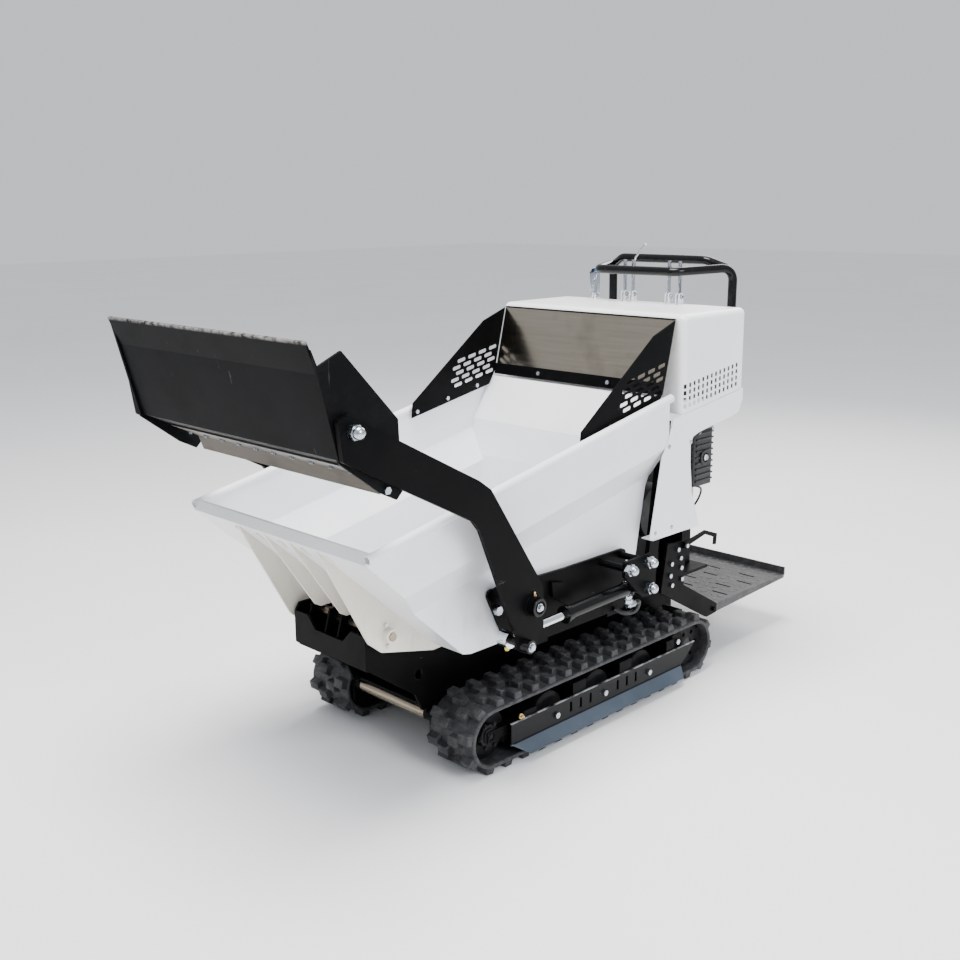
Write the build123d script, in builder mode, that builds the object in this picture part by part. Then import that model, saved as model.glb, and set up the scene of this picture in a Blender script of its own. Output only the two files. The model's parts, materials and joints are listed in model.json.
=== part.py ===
from build123d import *
from math import atan2, cos, degrees, hypot, pi, sin
import os

# Tracked, self-loading power wheelbarrow. Millimetres, +X towards the shovel,
# +Y the machine's left side, +Z up, ground at zero. Everything is drawn about
# the middle of the tracks, then keep() moves it so that the origin lies on the
# ground under the middle of the whole machine.

MIDDLE_X = 3.5                     # middle of the machine, ahead of the middle of the tracks

# Tracks
TRACK_Y = 278                      # middle of each rubber track
TRACK_WIDTH = 180
AXLE_X = 485                       # sprocket behind, idler in front
TRACK_R = 110                      # over the lugs
LUG_HEIGHT = 20
BAND = 12                          # rubber band under the lugs
INNER_R = TRACK_R - LUG_HEIGHT - BAND
LUGS = 34
ROLLER_X = (226, 0, -225)
ROLLER_R = 63.6
ROLLER_Z = TRACK_R - INNER_R + ROLLER_R + 0.4

# Chassis
CHASSIS_Y = 155
PLATE = 10
CHANNEL_Y = 330                    # side channels that carry the arms and cylinders
DECK_Z = 352

# Skip, which tips about the front shaft
TILT = (717, 437)                  # X and Z of the tipping shaft
SHEET = 4
RIM_FRONT = (943, 762)
RIM_REAR = (-273, 1006)
RIM_SLOPE = (RIM_REAR[1] - RIM_FRONT[1]) / (RIM_REAR[0] - RIM_FRONT[0])
SKIP_Y = 386                       # half width over the upper walls
SKIP_LOW_Y = 316                   # half width over the lower walls
BAND_DROP = 158                    # from the rim down to the step in the wall
STEP_DROP = 260                    # from the rim down to the foot of the step
RIM_TUBE_R = 13
RIM_TUBE_Y = SKIP_Y + 4

# Arms and lift cylinders
ARM_PIVOT = (440, 521)
ROD_PIN = (472, 416)
BARREL_PIN = (-112, 431)
ARM_Y = 452                        # inner face of each arm
ARM_THICK = 15
CYLINDER_Y = 400

# Hood
HOOD_Y = 390
HOOD_TOP = 1243
HOOD_FRONT = -335
HOOD_REAR = -680

# Operator's end
PLATFORM_Z = 204
PLATFORM_HINGE = (-640, 196)
BRACKET_Y = 322
LEVER_PIVOT = (-648, 1268)
LEVER_Y = (-92, -56, 98, 142)
BRAKE_PIVOT = (-644, 1256)
BRAKE_Y = -223.5
THROTTLE_PIVOT = (-668, 1251)
THROTTLE_Y = -70
TUBE_R = 15

os.makedirs("parts", exist_ok=True)


def keep(piece, name):
    """Move a finished piece to the machine's origin, label it and write it."""
    finished = piece.moved(Location((-MIDDLE_X, 0, 0)))
    finished.label = name
    export_step(finished, f"parts/{name}.step")


def across(y):
    """The plane that faces the machine's right side at this Y: sketch x is X, y is Z."""
    return Plane.XZ.offset(-y)


def plate(outline, y_low, y_high, corner=0, holes=()):
    """A flat plate standing along the machine, between two Y values."""
    with BuildPart() as piece:
        with BuildSketch(across(y_high)) as face:
            Polygon(*outline, align=None)
            if corner:
                fillet(face.vertices(), corner)
            for x, z, radius in holes:
                with Locations((x, z)):
                    Circle(radius, mode=Mode.SUBTRACT)
        extrude(amount=y_high - y_low)
    return piece.part


def bar(centre, radius, y_low, y_high, bore=0):
    """A round bar or tube across the machine."""
    with BuildPart() as piece:
        with BuildSketch(across(y_high)):
            with Locations(centre):
                Circle(radius)
                if bore:
                    Circle(bore, mode=Mode.SUBTRACT)
        extrude(amount=y_high - y_low)
    return piece.part


def block(x, y, z):
    """A box between pairs of X, Y and Z values."""
    with BuildPart() as piece:
        with Locations(((x[0] + x[1]) / 2, (y[0] + y[1]) / 2, (z[0] + z[1]) / 2)):
            Box(x[1] - x[0], y[1] - y[0], z[1] - z[0])
    return piece.part


def both_sides(piece):
    """The piece and its mirror image on the other side."""
    return [piece, mirror(piece, about=Plane.XZ)]


def weld(pieces):
    """Pieces joined into one weldment, or a group where they don't touch."""
    with BuildPart() as joined:
        for piece in pieces:
            add(piece)
    return joined.part


def cut(piece, tools):
    """The piece with the tools cut away."""
    with BuildPart() as result:
        add(piece)
        for tool in tools:
            add(tool, mode=Mode.SUBTRACT)
    return result.part


def keep_pair(piece, name):
    """Write the left piece and its mirror image as two nodes."""
    keep(piece, f"{name}_left")
    keep(mirror(piece, about=Plane.XZ), f"{name}_right")


def turned(points, centre, thickness_y):
    """A solid turned about a Y axis through centre, from (y, radius) points."""
    outline = [(0, points[0][0]), *[(r, y) for y, r in points], (0, points[-1][0])]
    with BuildPart() as piece:
        with BuildSketch(Plane((centre[0], 0, centre[1]), x_dir=(1, 0, 0), z_dir=(0, 0, 1))):
            Polygon(*outline, align=None)
        revolve(axis=Axis((centre[0], thickness_y, centre[1]), (0, 1, 0)))
    return piece.part


# Rubber tracks ---------------------------------------------------------------

def station(distance):
    """Position, tangent and outward direction on the band at a distance along it."""
    radius = TRACK_R - LUG_HEIGHT
    straight = 2 * AXLE_X
    bend = pi * radius
    distance %= 2 * (straight + bend)
    if distance < straight:
        return Plane((-AXLE_X + distance, 0, TRACK_R - radius), (1, 0, 0), (0, 0, -1))
    distance -= straight
    if distance < bend:
        turn = distance / radius
        out = (sin(turn), 0, -cos(turn))
        return Plane((AXLE_X + radius * out[0], 0, TRACK_R + radius * out[2]),
                     (cos(turn), 0, sin(turn)), out)
    distance -= bend
    if distance < straight:
        return Plane((AXLE_X - distance, 0, TRACK_R + radius), (-1, 0, 0), (0, 0, 1))
    turn = (distance - straight) / radius
    out = (-sin(turn), 0, cos(turn))
    return Plane((-AXLE_X + radius * out[0], 0, TRACK_R + radius * out[2]),
                 (-cos(turn), 0, -sin(turn)), out)


def rubber_track():
    """One endless rubber track with two staggered rows of lugs."""
    pitch = 2 * (2 * AXLE_X + pi * (TRACK_R - LUG_HEIGHT)) / LUGS
    with BuildPart() as track:
        with BuildSketch(across(TRACK_WIDTH / 2)):
            with Locations((0, TRACK_R)):
                SlotCenterToCenter(2 * AXLE_X, 2 * (TRACK_R - LUG_HEIGHT))
                SlotCenterToCenter(2 * AXLE_X, 2 * INNER_R, mode=Mode.SUBTRACT)
        extrude(amount=TRACK_WIDTH)
        for index in range(LUGS):
            for row in (-1, 1):
                plane = station((index + 0.25 * row) * pitch)
                with BuildSketch(plane.offset(-4)):
                    with Locations((0, -42 * row)):
                        Rectangle(40, 86)
        extrude(amount=LUG_HEIGHT + 4)
        with BuildSketch(across(TRACK_WIDTH / 2)):
            with Locations((0, TRACK_R)):
                SlotCenterToCenter(2 * AXLE_X, 2 * TRACK_R)
        extrude(amount=TRACK_WIDTH, mode=Mode.INTERSECT)
    return track.part.moved(Location((0, TRACK_Y, 0)))


keep_pair(rubber_track(), "track_belt")


# Running gear ----------------------------------------------------------------

def sprocket():
    """Drive sprocket with rounded gaps round its rim, on the motor's shaft."""
    with BuildPart() as wheel:
        with BuildSketch(across(334)):
            with Locations((-AXLE_X, TRACK_R)):
                Circle(INNER_R - 1.5)
                Circle(22, mode=Mode.SUBTRACT)
                with PolarLocations(INNER_R + 2, 11):
                    Circle(13, mode=Mode.SUBTRACT)
                with PolarLocations(44, 6):
                    Circle(8, mode=Mode.SUBTRACT)
        extrude(amount=112)
        with BuildSketch(across(316)):
            with Locations((-AXLE_X, TRACK_R)):
                Circle(INNER_R + 5)
                Circle(54, mode=Mode.SUBTRACT)
        extrude(amount=76, mode=Mode.SUBTRACT)
    return wheel.part


keep_pair(sprocket(), "drive_sprocket")

IDLER_PROFILE = ((232, 16), (232, 60), (236, INNER_R - 1), (262, INNER_R - 1), (266, 50),
                 (290, 50), (294, INNER_R - 1), (320, INNER_R - 1), (324, 60), (324, 36),
                 (342, 34), (342, 16))
ROLLER_PROFILE = ((222, 14), (222, 50), (226, ROLLER_R), (256, ROLLER_R), (260, 34),
                  (296, 34), (300, ROLLER_R), (330, ROLLER_R), (334, 50), (334, 22),
                  (350, 22), (350, 14))


def wheel(profile, centre, bore):
    """A steel wheel turned about its axle, bored for it."""
    return cut(turned(profile, centre, TRACK_Y), [bar(centre, bore, 150, 400)])


keep_pair(wheel(IDLER_PROFILE, (AXLE_X, TRACK_R), 12.3), "idler_wheel")
for number, x in enumerate(ROLLER_X, start=1):
    keep_pair(wheel(ROLLER_PROFILE, (x, ROLLER_Z), 10.3), f"track_roller_{number}")

# Track frame: inner plate, bridges between the rollers, axles and the idler's tension yoke.
BRIDGE_X = ((ROLLER_X[0] + ROLLER_X[1]) / 2, (ROLLER_X[1] + ROLLER_X[2]) / 2)
frame_pieces = [
    plate([(-560, 80), (-540, 60), (540, 60), (560, 80), (560, 160), (540, 178),
           (-540, 178), (-560, 160)], 172, 182, holes=[(-AXLE_X, TRACK_R, 56)]),
]
for x in BRIDGE_X:
    frame_pieces.append(block((x - 30, x + 30), (182, 361), (62, 168)))
for x in ROLLER_X:
    frame_pieces.append(bar((x, ROLLER_Z), 10, 182, 361))
frame_pieces.append(block((ROLLER_X[0] + 82, 362), (182, 361), (72, 150)))
frame_pieces.append(bar((AXLE_X, TRACK_R), 12, 182, 350))
frame_pieces.append(block((362, 500), (326, 330), (94, 126)))
frame_pieces.append(block((362, 500), (346, 350), (94, 126)))
frame_pieces.append(block((-372, -330), (182, 361), (72, 168)))
carrier = bar((-395, 150), 34, 346, 354)
frame_pieces.append(carrier)
frame_pieces.append(block((-372, -360), (346, 354), (132, 168)))
track_frame = weld(frame_pieces)
keep_pair(cut(track_frame, [bar((AXLE_X, TRACK_R), 40, 325.5, 345.5, bore=12),
                            bar((AXLE_X, TRACK_R), 12.1, 345.5, 352)]), "track_frame")


def cover():
    """Outer cover with slots between the roller bolts and a flared skirt below."""
    slots = []
    for middle in BRIDGE_X:
        for step in (-46, 0, 46):
            slots.append(block((middle + step - 5, middle + step + 5), (350, 380), (84, 116)))
    face = plate([(-482, 131), (420, 131), (420, 62), (-401, 62)], 361, 367)
    with BuildPart() as skirt:
        with BuildSketch(Plane.YZ.offset(-401)):
            Polygon((367, 70), (367, 62), (390, 28), (394, 32), align=None)
        extrude(amount=821)
        with BuildSketch(Plane.XY.offset(20)):
            Polygon((-410, 360), (-386, 396), (-410, 396), align=None)
            Polygon((430, 360), (349, 396), (430, 396), align=None)
        extrude(amount=60, mode=Mode.SUBTRACT)
    return cut(weld([face, skirt.part]), slots)


keep(weld(both_sides(cover())), "track_covers")

# Hydraulic motors that turn the sprockets
motor = weld([bar((-AXLE_X, TRACK_R), 50, 160.3, 212), bar((-AXLE_X, TRACK_R), 21.7, 212, 330),
              block((-AXLE_X - 24, -AXLE_X + 24), (160.3, 171.5), (150, 200))])
keep(weld(both_sides(motor)), "drive_motors")


# Chassis ---------------------------------------------------------------------

side_outline = [(780, 440), (764, 462), (690, 462), (650, 420), (625, 350), (-630, 350),
                (-630, 160), (575, 160), (600, 215), (780, 345)]
chassis_pieces = both_sides(plate(side_outline, CHASSIS_Y - 5, CHASSIS_Y + 5,
                                  holes=[(585, 274, 14.5)]))
for y in (-110, -28, 28, 110):
    chassis_pieces.append(plate([(772, 345), (772, 404), (752, 470), (690, 470), (660, 345)],
                                y - 4, y + 4))
with BuildPart() as front_plate:
    with BuildSketch(Plane.YZ.offset(772)):
        Polygon((-160, 343), (160, 343), (160, 441), (98, 441), (62, 404), (-62, 404),
                (-98, 441), (-160, 441), align=None)
    extrude(amount=8)
chassis_pieces.append(front_plate.part)
chassis_pieces.append(block((625, 772), (-CHASSIS_Y, CHASSIS_Y), (335, 345)))
chassis_pieces.append(block((-640, -150), (-300, 300), (DECK_Z - 10, DECK_Z)))
chassis_pieces.append(block((-630, 560), (-CHASSIS_Y, CHASSIS_Y), (160, 168)))
for x in (-90, 250):
    outrigger = block((x - 30, x + 30), (CHASSIS_Y + 5, CHANNEL_Y - 5), (318, 350))
    chassis_pieces.extend(both_sides(outrigger))
for x in (540, -300):
    chassis_pieces.append(bar((x, 138), 21, -172, 172))
    chassis_pieces.extend(both_sides(block((x - 20, x + 20), (150, 160), (138, 162))))
keep(cut(weld(chassis_pieces), [bar(TILT, 17, -200, 200)]), "chassis_frame")

with BuildPart() as tilt_shaft:
    for radius, reach in ((17, 171), (12, 207)):
        with BuildSketch(across(reach)):
            with Locations(TILT):
                Circle(radius)
        extrude(amount=2 * reach)
keep(tilt_shaft.part, "tilt_shaft")

channel_outline = [(491, 541), (420, 395), (372, 335), (-135, 335), (-135, 531), (150, 531)]
channel = weld([
    plate(channel_outline, CHANNEL_Y - 5, CHANNEL_Y + 5, corner=18),
    bar(ARM_PIVOT, 27, CHANNEL_Y + 5, 436),
    plate([(227, 507), (171, 494), (124, 422), (132, 405), (221, 460)], CHANNEL_Y + 5, 347),
])
keep(weld(both_sides(cut(channel, [bar(ARM_PIVOT, 20, 300, 460)]))), "side_channels")

pivot_pin = weld([bar(ARM_PIVOT, 20, CHANNEL_Y - 5, 487), bar(ARM_PIVOT, 25, 487, 493)])
keep(weld(both_sides(pivot_pin)), "arm_pivot_pins")

CORNER_STUDS = ((-12, 511), (-108, 514))
outer_plate = plate([(4, 536), (-130, 538), (-142, 410), (-92, 402), (-58, 430), (4, 490)],
                    430, 440, corner=9)
spacers = [bar(centre, 11, CHANNEL_Y + 5, 430) for centre in CORNER_STUDS]
keep(weld(both_sides(weld([outer_plate, *spacers]))), "cylinder_brackets")


# Lift arms, shovel and cylinders ---------------------------------------------

ARM_OUTLINE = [(1082, 1118), (1068, 1020), (661, 801), (636, 770), (568, 604), (530, 501),
               (499, 450), (487, 400), (463, 387), (425, 405), (396, 446), (398, 561),
               (423, 606), (597, 874), (640, 905), (1050, 1128)]
arm = weld([
    plate(ARM_OUTLINE, ARM_Y, ARM_Y + ARM_THICK, corner=9),
    bar(ARM_PIVOT, 28, 437, 486, bore=20.3),
])
keep_pair(cut(arm, [bar(ARM_PIVOT, 20.3, 400, 520), bar(ROD_PIN, 12, 400, 520)]), "lift_arm")

rod_pin = weld([bar(ROD_PIN, 12, 380, 484), bar(ROD_PIN, 19, 467, 492)])
keep(weld(both_sides(rod_pin)), "rod_end_pins")

# The shovel's section from the cutting edge round to the back edge, and its side plates
SHOVEL_Y = 440
SECTION = [(1143, 1296), (1112, 1222), (1059, 1021), (923, 954)]


def thickened(points, thickness):
    """Outline of a bent sheet that lies on the upper-left side of the points."""
    return [*points, *reversed([(x - thickness * 0.9, z + thickness * 0.55) for x, z in points])]


shell = plate(thickened(SECTION, 6), -SHOVEL_Y, SHOVEL_Y)
shovel_side = plate([(1132, 1280), (1116, 1241), (1100, 1248), (1049, 1270), (888, 1095),
                     (880, 918), (898, 900), (949, 926), (1066, 1015)], SHOVEL_Y, SHOVEL_Y + 8)
lug = plate([(1075, 1110), (1068, 1040), (1010, 1010), (985, 1040), (985, 1110), (1040, 1130)],
            SHOVEL_Y + 8, ARM_Y)
keep(weld([shell, *both_sides(shovel_side), *both_sides(lug)]), "shovel")

STRIP_THICK = 5
back_slope = atan2(SECTION[2][1] - SECTION[3][1], SECTION[2][0] - SECTION[3][0])


def on_back(distance, height):
    """A point down the shovel's back from its bend, this high off the outer face."""
    return (SECTION[2][0] - distance * cos(back_slope) + height * sin(back_slope),
            SECTION[2][1] - distance * sin(back_slope) - height * cos(back_slope))


strip = plate([on_back(62, 0), on_back(158, 0), (899, 908), (904, 905),
               on_back(158, STRIP_THICK), on_back(62, STRIP_THICK)], -392, 392)
keep(strip, "shovel_back_strip")


def dome_nut(centre, y, across_flats):
    """Hexagon nut with a domed end, standing outwards from the face at y."""
    half = across_flats / 2
    height = 2.1 * half
    with BuildPart() as nut:
        with BuildSketch(across(y + half * 0.9)):
            with Locations(centre):
                RegularPolygon(half / cos(pi / 6), 6)
        extrude(amount=half * 0.9)
        with BuildSketch(across(y + height)):
            with Locations(centre):
                Circle(half * 0.92)
        extrude(amount=height - half * 0.8)
        fillet(nut.faces().sort_by(Axis.Y)[-1].edges(), half * 0.8)
    return nut.part


def bolt_head(centre, y, across_flats, height):
    """Hexagon bolt head standing outwards from the face at y."""
    with BuildPart() as head:
        with BuildSketch(across(y + height)):
            with Locations(centre):
                RegularPolygon(across_flats / 2 / cos(pi / 6), 6)
        extrude(amount=height)
    return head.part


def bolts_on(plane, places, across_flats, height):
    """Hexagon bolt heads at places of a plane, standing on its front."""
    with BuildPart() as heads:
        with BuildSketch(plane):
            with Locations(*places):
                RegularPolygon(across_flats / 2 / cos(pi / 6), 6)
        extrude(amount=height)
    return heads.part


bolt_line = on_back(112, STRIP_THICK)
strip_face = Plane((bolt_line[0], 0, bolt_line[1]), x_dir=(0, 1, 0),
                   z_dir=(sin(back_slope), 0, -cos(back_slope)))
strip_bolts = bolts_on(strip_face, [(-360 + 80 * i, 0) for i in range(10)], 13, 6)
shovel_nuts = both_sides(weld([dome_nut((1039, 1088), ARM_Y + ARM_THICK, 34),
                               bolt_head((930, 930), SHOVEL_Y + 8, 17, 8)]))
keep(weld([*shovel_nuts, *strip_bolts.solids()]), "shovel_fasteners")

# Lift cylinders
CYLINDER_LENGTH = hypot(ROD_PIN[0] - BARREL_PIN[0], ROD_PIN[1] - BARREL_PIN[1])


def along(start, end, y, radius, bore=0, inset=(0, 0)):
    """A round bar or tube between two points of the plane at y."""
    length = hypot(end[0] - start[0], end[1] - start[1])
    direction = ((end[0] - start[0]) / length, 0, (end[1] - start[1]) / length)
    with BuildPart() as piece:
        with BuildSketch(Plane((start[0], y, start[1]), z_dir=direction).offset(inset[0])):
            Circle(radius)
            if bore:
                Circle(bore, mode=Mode.SUBTRACT)
        extrude(amount=length - inset[0] - inset[1])
    return piece.part


def eye(centre, y, radius, half_width, bore):
    """The eye at a cylinder's end."""
    return bar(centre, radius, y - half_width, y + half_width, bore)


lift_rod = cut(weld([along(BARREL_PIN, ROD_PIN, CYLINDER_Y, 12.5, inset=(176, 18)),
                     along(BARREL_PIN, ROD_PIN, CYLINDER_Y, 15.7, inset=(166, CYLINDER_LENGTH - 190)),
                     eye(ROD_PIN, CYLINDER_Y, 24, 17, 0)]), [bar(ROD_PIN, 12.3, 300, 500)])
keep(weld(both_sides(lift_rod)), "lift_rods")
lift_barrel = weld([along(BARREL_PIN, ROD_PIN, CYLINDER_Y, 21, bore=16, inset=(22, 246)),
                    along(BARREL_PIN, ROD_PIN, CYLINDER_Y, 20, inset=(10, CYLINDER_LENGTH - 30)),
                    along(BARREL_PIN, ROD_PIN, CYLINDER_Y, 24, bore=12.8,
                          inset=(CYLINDER_LENGTH - 262, 238)),
                    eye(BARREL_PIN, CYLINDER_Y, 21, 15, 10)])
keep(weld(both_sides(lift_barrel)), "lift_barrels")


# Skip ------------------------------------------------------------------------

def wall_section(half_top, half_low, lift):
    """Half widths of the skip against height, at the rear end of its rim."""
    top = RIM_REAR[1] + lift
    step_top = RIM_REAR[1] - BAND_DROP
    step_foot = RIM_REAR[1] - STEP_DROP
    right = [(half_top, top), (half_top, step_top), (half_low, step_foot), (half_low, 50)]
    return [*right, *[(-y, z) for y, z in reversed(right)]]


def trough(half_top, half_low, lift, outline):
    """The wall section run parallel to the rim, limited to a side outline."""
    with BuildPart() as run:
        with BuildSketch(Plane.YZ.offset(RIM_REAR[0] - 40)):
            Polygon(*wall_section(half_top, half_low, lift - 40 * RIM_SLOPE), align=None)
        extrude(amount=1320, dir=(1, 0, RIM_SLOPE))
    limit = plate(outline, -450, 450)
    with BuildPart() as result:
        add(run.part)
        add(limit, mode=Mode.INTERSECT)
    return result.part


skip_side = [RIM_FRONT, (951, 734), (560, 372), (530, 365), (-185, 365), (-251, 707),
             (-273, 746), RIM_REAR]
cavity_side = [(943, 900), (939, 736), (558, 378), (529, 369), (-134, 369), (-153, 730),
               (-174, 850), (-269, 1006), (-320, 1140)]
rear_void = [(-400, 1100), (-277, 1004), (-182, 850), (-161, 730), (-142, 365), (-160, 200),
             (-400, 200)]
skip_shell = cut(trough(SKIP_Y, SKIP_LOW_Y, -RIM_TUBE_R, skip_side),
                 [trough(SKIP_Y - SHEET, SKIP_LOW_Y - SHEET, 200, cavity_side),
                  trough(SKIP_Y - SHEET, SKIP_LOW_Y - SHEET, 200, rear_void)])


def rim_tube(y):
    """The rolled tube along one upper edge of the skip."""
    front = (RIM_FRONT[0] + 6, RIM_FRONT[1] - RIM_TUBE_R + 6 * RIM_SLOPE)
    rear = (RIM_REAR[0], RIM_REAR[1] - RIM_TUBE_R)
    return along(rear, front, y, RIM_TUBE_R, bore=RIM_TUBE_R - 3)


lip = plate([RIM_FRONT, (951, 734), (943, 730), (933, 734), (933, 762)], 4 - SKIP_Y, SKIP_Y - 4)
tube_room = [along((RIM_REAR[0] - 5, RIM_REAR[1] - RIM_TUBE_R - 5 * RIM_SLOPE),
                   (RIM_FRONT[0] + 12, RIM_FRONT[1] - RIM_TUBE_R + 12 * RIM_SLOPE),
                   side * RIM_TUBE_Y, RIM_TUBE_R - 3) for side in (-1, 1)]
keep(cut(weld([skip_shell, lip, rim_tube(RIM_TUBE_Y), rim_tube(-RIM_TUBE_Y)]), tube_room),
     "skip_body")

# Ribs under the front slope, and the outer pair as cheeks with the tipping bushes
cheek = cut(weld([
    plate([(944, 727.5), (783, 427), (739, 391), (550, 345), (485, 347), (485, 365), (530, 365),
           (560, 372)], 174, 182),
    bar(TILT, 20, 182, 203), bar((TILT[0] + 8, TILT[1] + 31), 6, 182, 190),
    bar((TILT[0] + 1, TILT[1] - 31), 6, 182, 190)]), [bar(TILT, 12.3, 150, 220)])
rib = plate([(944, 727.5), (780, 484), (762, 474), (670, 473.8)], 55, 61)
TIP_FOOT = (-60, 215)
TIP_HEAD = (330, 332)              # tipping cylinder's pin, in ears under the skip
ears = [plate([(300, 365), (360, 365), (345, 318), (330, 312), (315, 318)], y - 4, y + 4)
        for y in (-22, 22)]
tip_ears = weld([*ears, bar(TIP_HEAD, 10, -18, 18)])
keep(weld([*both_sides(cheek), *both_sides(rib), tip_ears]), "skip_ribs")


# Guard behind the skip -------------------------------------------------------

def rim_height(x):
    """Height of the skip's rim at this X."""
    return RIM_FRONT[1] + (x - RIM_FRONT[0]) * RIM_SLOPE


def perforated_guard(y_low, y_high):
    """One side of the guard: a plate with staggered rows of rounded slots."""
    outline = [(-318, 1226), (-211, 1188), (124, 940), (130, rim_height(130) - 34),
               (-236, rim_height(-236) - 34), (-264, 1011)]
    slope = degrees(atan2(RIM_SLOPE, 1))
    with BuildPart() as guard:
        with BuildSketch(across(y_high)):
            Polygon(*outline, align=None)
            for row in range(5):
                for column in range(4):
                    x = -86 - row * 4.3 + (row % 2) * 19 - column * 50.7
                    z = rim_height(x) + 11 + row * 19.7
                    with Locations(Location((x, z, 0), slope)):
                        SlotOverall(40, 13, mode=Mode.SUBTRACT)
        extrude(amount=y_high - y_low)
    return guard.part


keep(weld(both_sides(perforated_guard(362, 366))), "guard_sides")

panel_foot = (-266, rim_height(-266) - 6)
panel_top = (-322, 1229)
back = plate([panel_foot, panel_top, (panel_top[0] - 10, 1229), (panel_top[0] - 10, 1225),
              (panel_top[0] - 4, 1225), (panel_foot[0] - 4, panel_foot[1])], -361.5, 361.5)
keep(back, "guard_back_panel")

lean = atan2(panel_top[0] - panel_foot[0], panel_top[1] - panel_foot[1])
strip_low = plate([(-263, 1000), (-270, 1036), (-267.2, 1036), (-260.2, 1000)], -361, 361)
keep(strip_low, "guard_strip")

inner_face = Plane((0, 362, 0), x_dir=(1, 0, 0), z_dir=(0, -1, 0))
side_bolts = bolts_on(inner_face, [(x, rim_height(x) - 18) for x in (110, -30, -170)], 13, 7)
guard_face = Plane((-262, 0, 1018), x_dir=(0, 1, 0), z_dir=(cos(lean), 0, -sin(lean)))
strip_heads = bolts_on(guard_face, [(-150, 0), (150, 0)], 13, 7)
keep(weld([*both_sides(side_bolts), strip_heads]), "guard_bolts")


# Hood, side panels and uprights ----------------------------------------------

def parting_height(x):
    """The line where the hood meets the side panels, rising to the rear."""
    return 926 + (-289 - x) * 0.14


with BuildPart() as hood:
    with BuildSketch(Plane.XY.offset(900)):
        Rectangle(HOOD_FRONT - HOOD_REAR, 2 * HOOD_Y)
    extrude(amount=HOOD_TOP - 900)
    fillet(hood.edges().filter_by(Axis.Z), 22)
    fillet(hood.faces().sort_by(Axis.Z)[-1].edges(), 20)
    offset(amount=-3, openings=hood.faces().sort_by(Axis.Z)[0], kind=Kind.INTERSECTION)
hood_shell = hood.part.moved(Location(((HOOD_FRONT + HOOD_REAR) / 2, 0, 0)))
vents = []
for row in range(4):
    for column in range(13):
        x = -350 - column * 23.5
        z = parting_height(x) + 22 + row * 21
        vents.append(block((x - 6, x + 6), (-420, 420), (z - 7, z + 7)))
with BuildPart() as vent_tools:
    for vent in vents:
        add(vent)
under_line = plate([(-200, 800), (-800, 800), (-800, parting_height(-800)),
                    (-200, parting_height(-200))], -450, 450)
hood_panel = cut(hood_shell, [vent_tools.part, under_line])

# Ears on the hood's top for the control levers
lever_ears = []
for y in LEVER_Y:
    x, z = LEVER_PIVOT
    for side in (-1, 1):
        middle = y + side * 6
        lever_ears.append(plate([(x - 14, HOOD_TOP), (x + 14, HOOD_TOP), (x + 12, z + 8),
                                 (x, z + 12), (x - 12, z + 8)], middle - 1.5, middle + 1.5))
    lever_ears.append(bar((x, z), 4, y - 7.5, y + 7.5))
for side in (-1, 1):
    x, z = BRAKE_PIVOT
    lever_ears.append(plate([(x - 11, HOOD_TOP), (x + 11, HOOD_TOP), (x + 7, z + 7), (x - 7, z + 7)],
                            BRAKE_Y + side * 6 - 1.5, BRAKE_Y + side * 6 + 1.5))
    x, z = THROTTLE_PIVOT
    lever_ears.append(plate([(x - 9, HOOD_TOP), (x + 5, HOOD_TOP), (x + 4, z + 5), (x - 5, z + 5)],
                            THROTTLE_Y + side * 10 - 1, THROTTLE_Y + side * 10 + 1))
lever_ears.append(bar(BRAKE_PIVOT, 4, BRAKE_Y - 7.5, BRAKE_Y + 7.5))
lever_ears.append(bar(THROTTLE_PIVOT, 3, THROTTLE_Y - 10.5, THROTTLE_Y + 10.5))
keep(weld([hood_panel, *lever_ears]), "engine_hood")

PANEL_OUTLINE = [(-289, parting_height(-289) - 2), (-676, parting_height(-676) - 2), (-675, 940),
                 (-655, 901), (-622, 892), (-437, 865), (-399, 854), (-386, 828), (-388, 771),
                 (-401, 667), (-451, 547), (-183, 555), (-236, 813), (-266, 852)]
panel = weld([plate(PANEL_OUTLINE, HOOD_Y - 3, HOOD_Y, corner=4),
              block((-430, -200), (345, HOOD_Y - 1), (549, 552)),
              block((-300, -297), (338, HOOD_Y - 1), (600, 900))])
keep_pair(panel, "side_panel")

upright = plate([(-240, DECK_Z), (-240, 400), (-305, 905), (-350, 905), (-290, 400),
                 (-290, DECK_Z)], 322, 338)
foot = block((-290, -240), (300, 338), (DECK_Z - 10, DECK_Z))
keep(weld(both_sides(weld([upright, foot]))), "rear_uprights")


# Engine, hydraulics and tanks ------------------------------------------------

engine_bed = DECK_Z
fins = [block((-520, -400), (-70, 110), (700 + 14 * i, 705 + 14 * i)) for i in range(7)]
engine = weld([block((-560, -360), (-110, 150), (engine_bed, engine_bed + 30)),
               block((-550, -370), (-100, 140), (engine_bed + 30, 700)),
               block((-500, -420), (-50, 90), (700, 800)), *fins,
               bar((-460, 560), 95, 140, 215)])
keep(engine, "engine_block")
keep(block((-560, -380), (-110, 130), (812, 930)), "fuel_tank")
with BuildPart() as filter_box:
    with Locations((-545, 285, 755)):
        Box(110, 100, 190)
    fillet(filter_box.edges().filter_by(Axis.Z), 18)
keep(filter_box.part, "air_filter")
carburettor = weld([block((-540, -480), (216, 300), (610, 650)),
                    bar((-515, 600), 16, 240, 300),
                    block((-530, -500), (240, 290), (650, 659.8))])
keep(carburettor, "carburettor")
keep(weld([bar((-470, 770), 45, -280, -120), bar((-470, 770), 14, -120, -72)]),
     "exhaust_muffler")
keep(weld([bar((-460, 560), 40, -230, -110), bar((-460, 560), 55, -240, -230)]),
     "hydraulic_pump")
keep(weld([block((-620, -570), (-240, 240), (engine_bed, 620)),
           bar((-595, 560), 18, 240, 252)]), "oil_tank")
keep(block((-670, -560), (-150, 175), (1160, 1230)), "valve_block")


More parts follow.
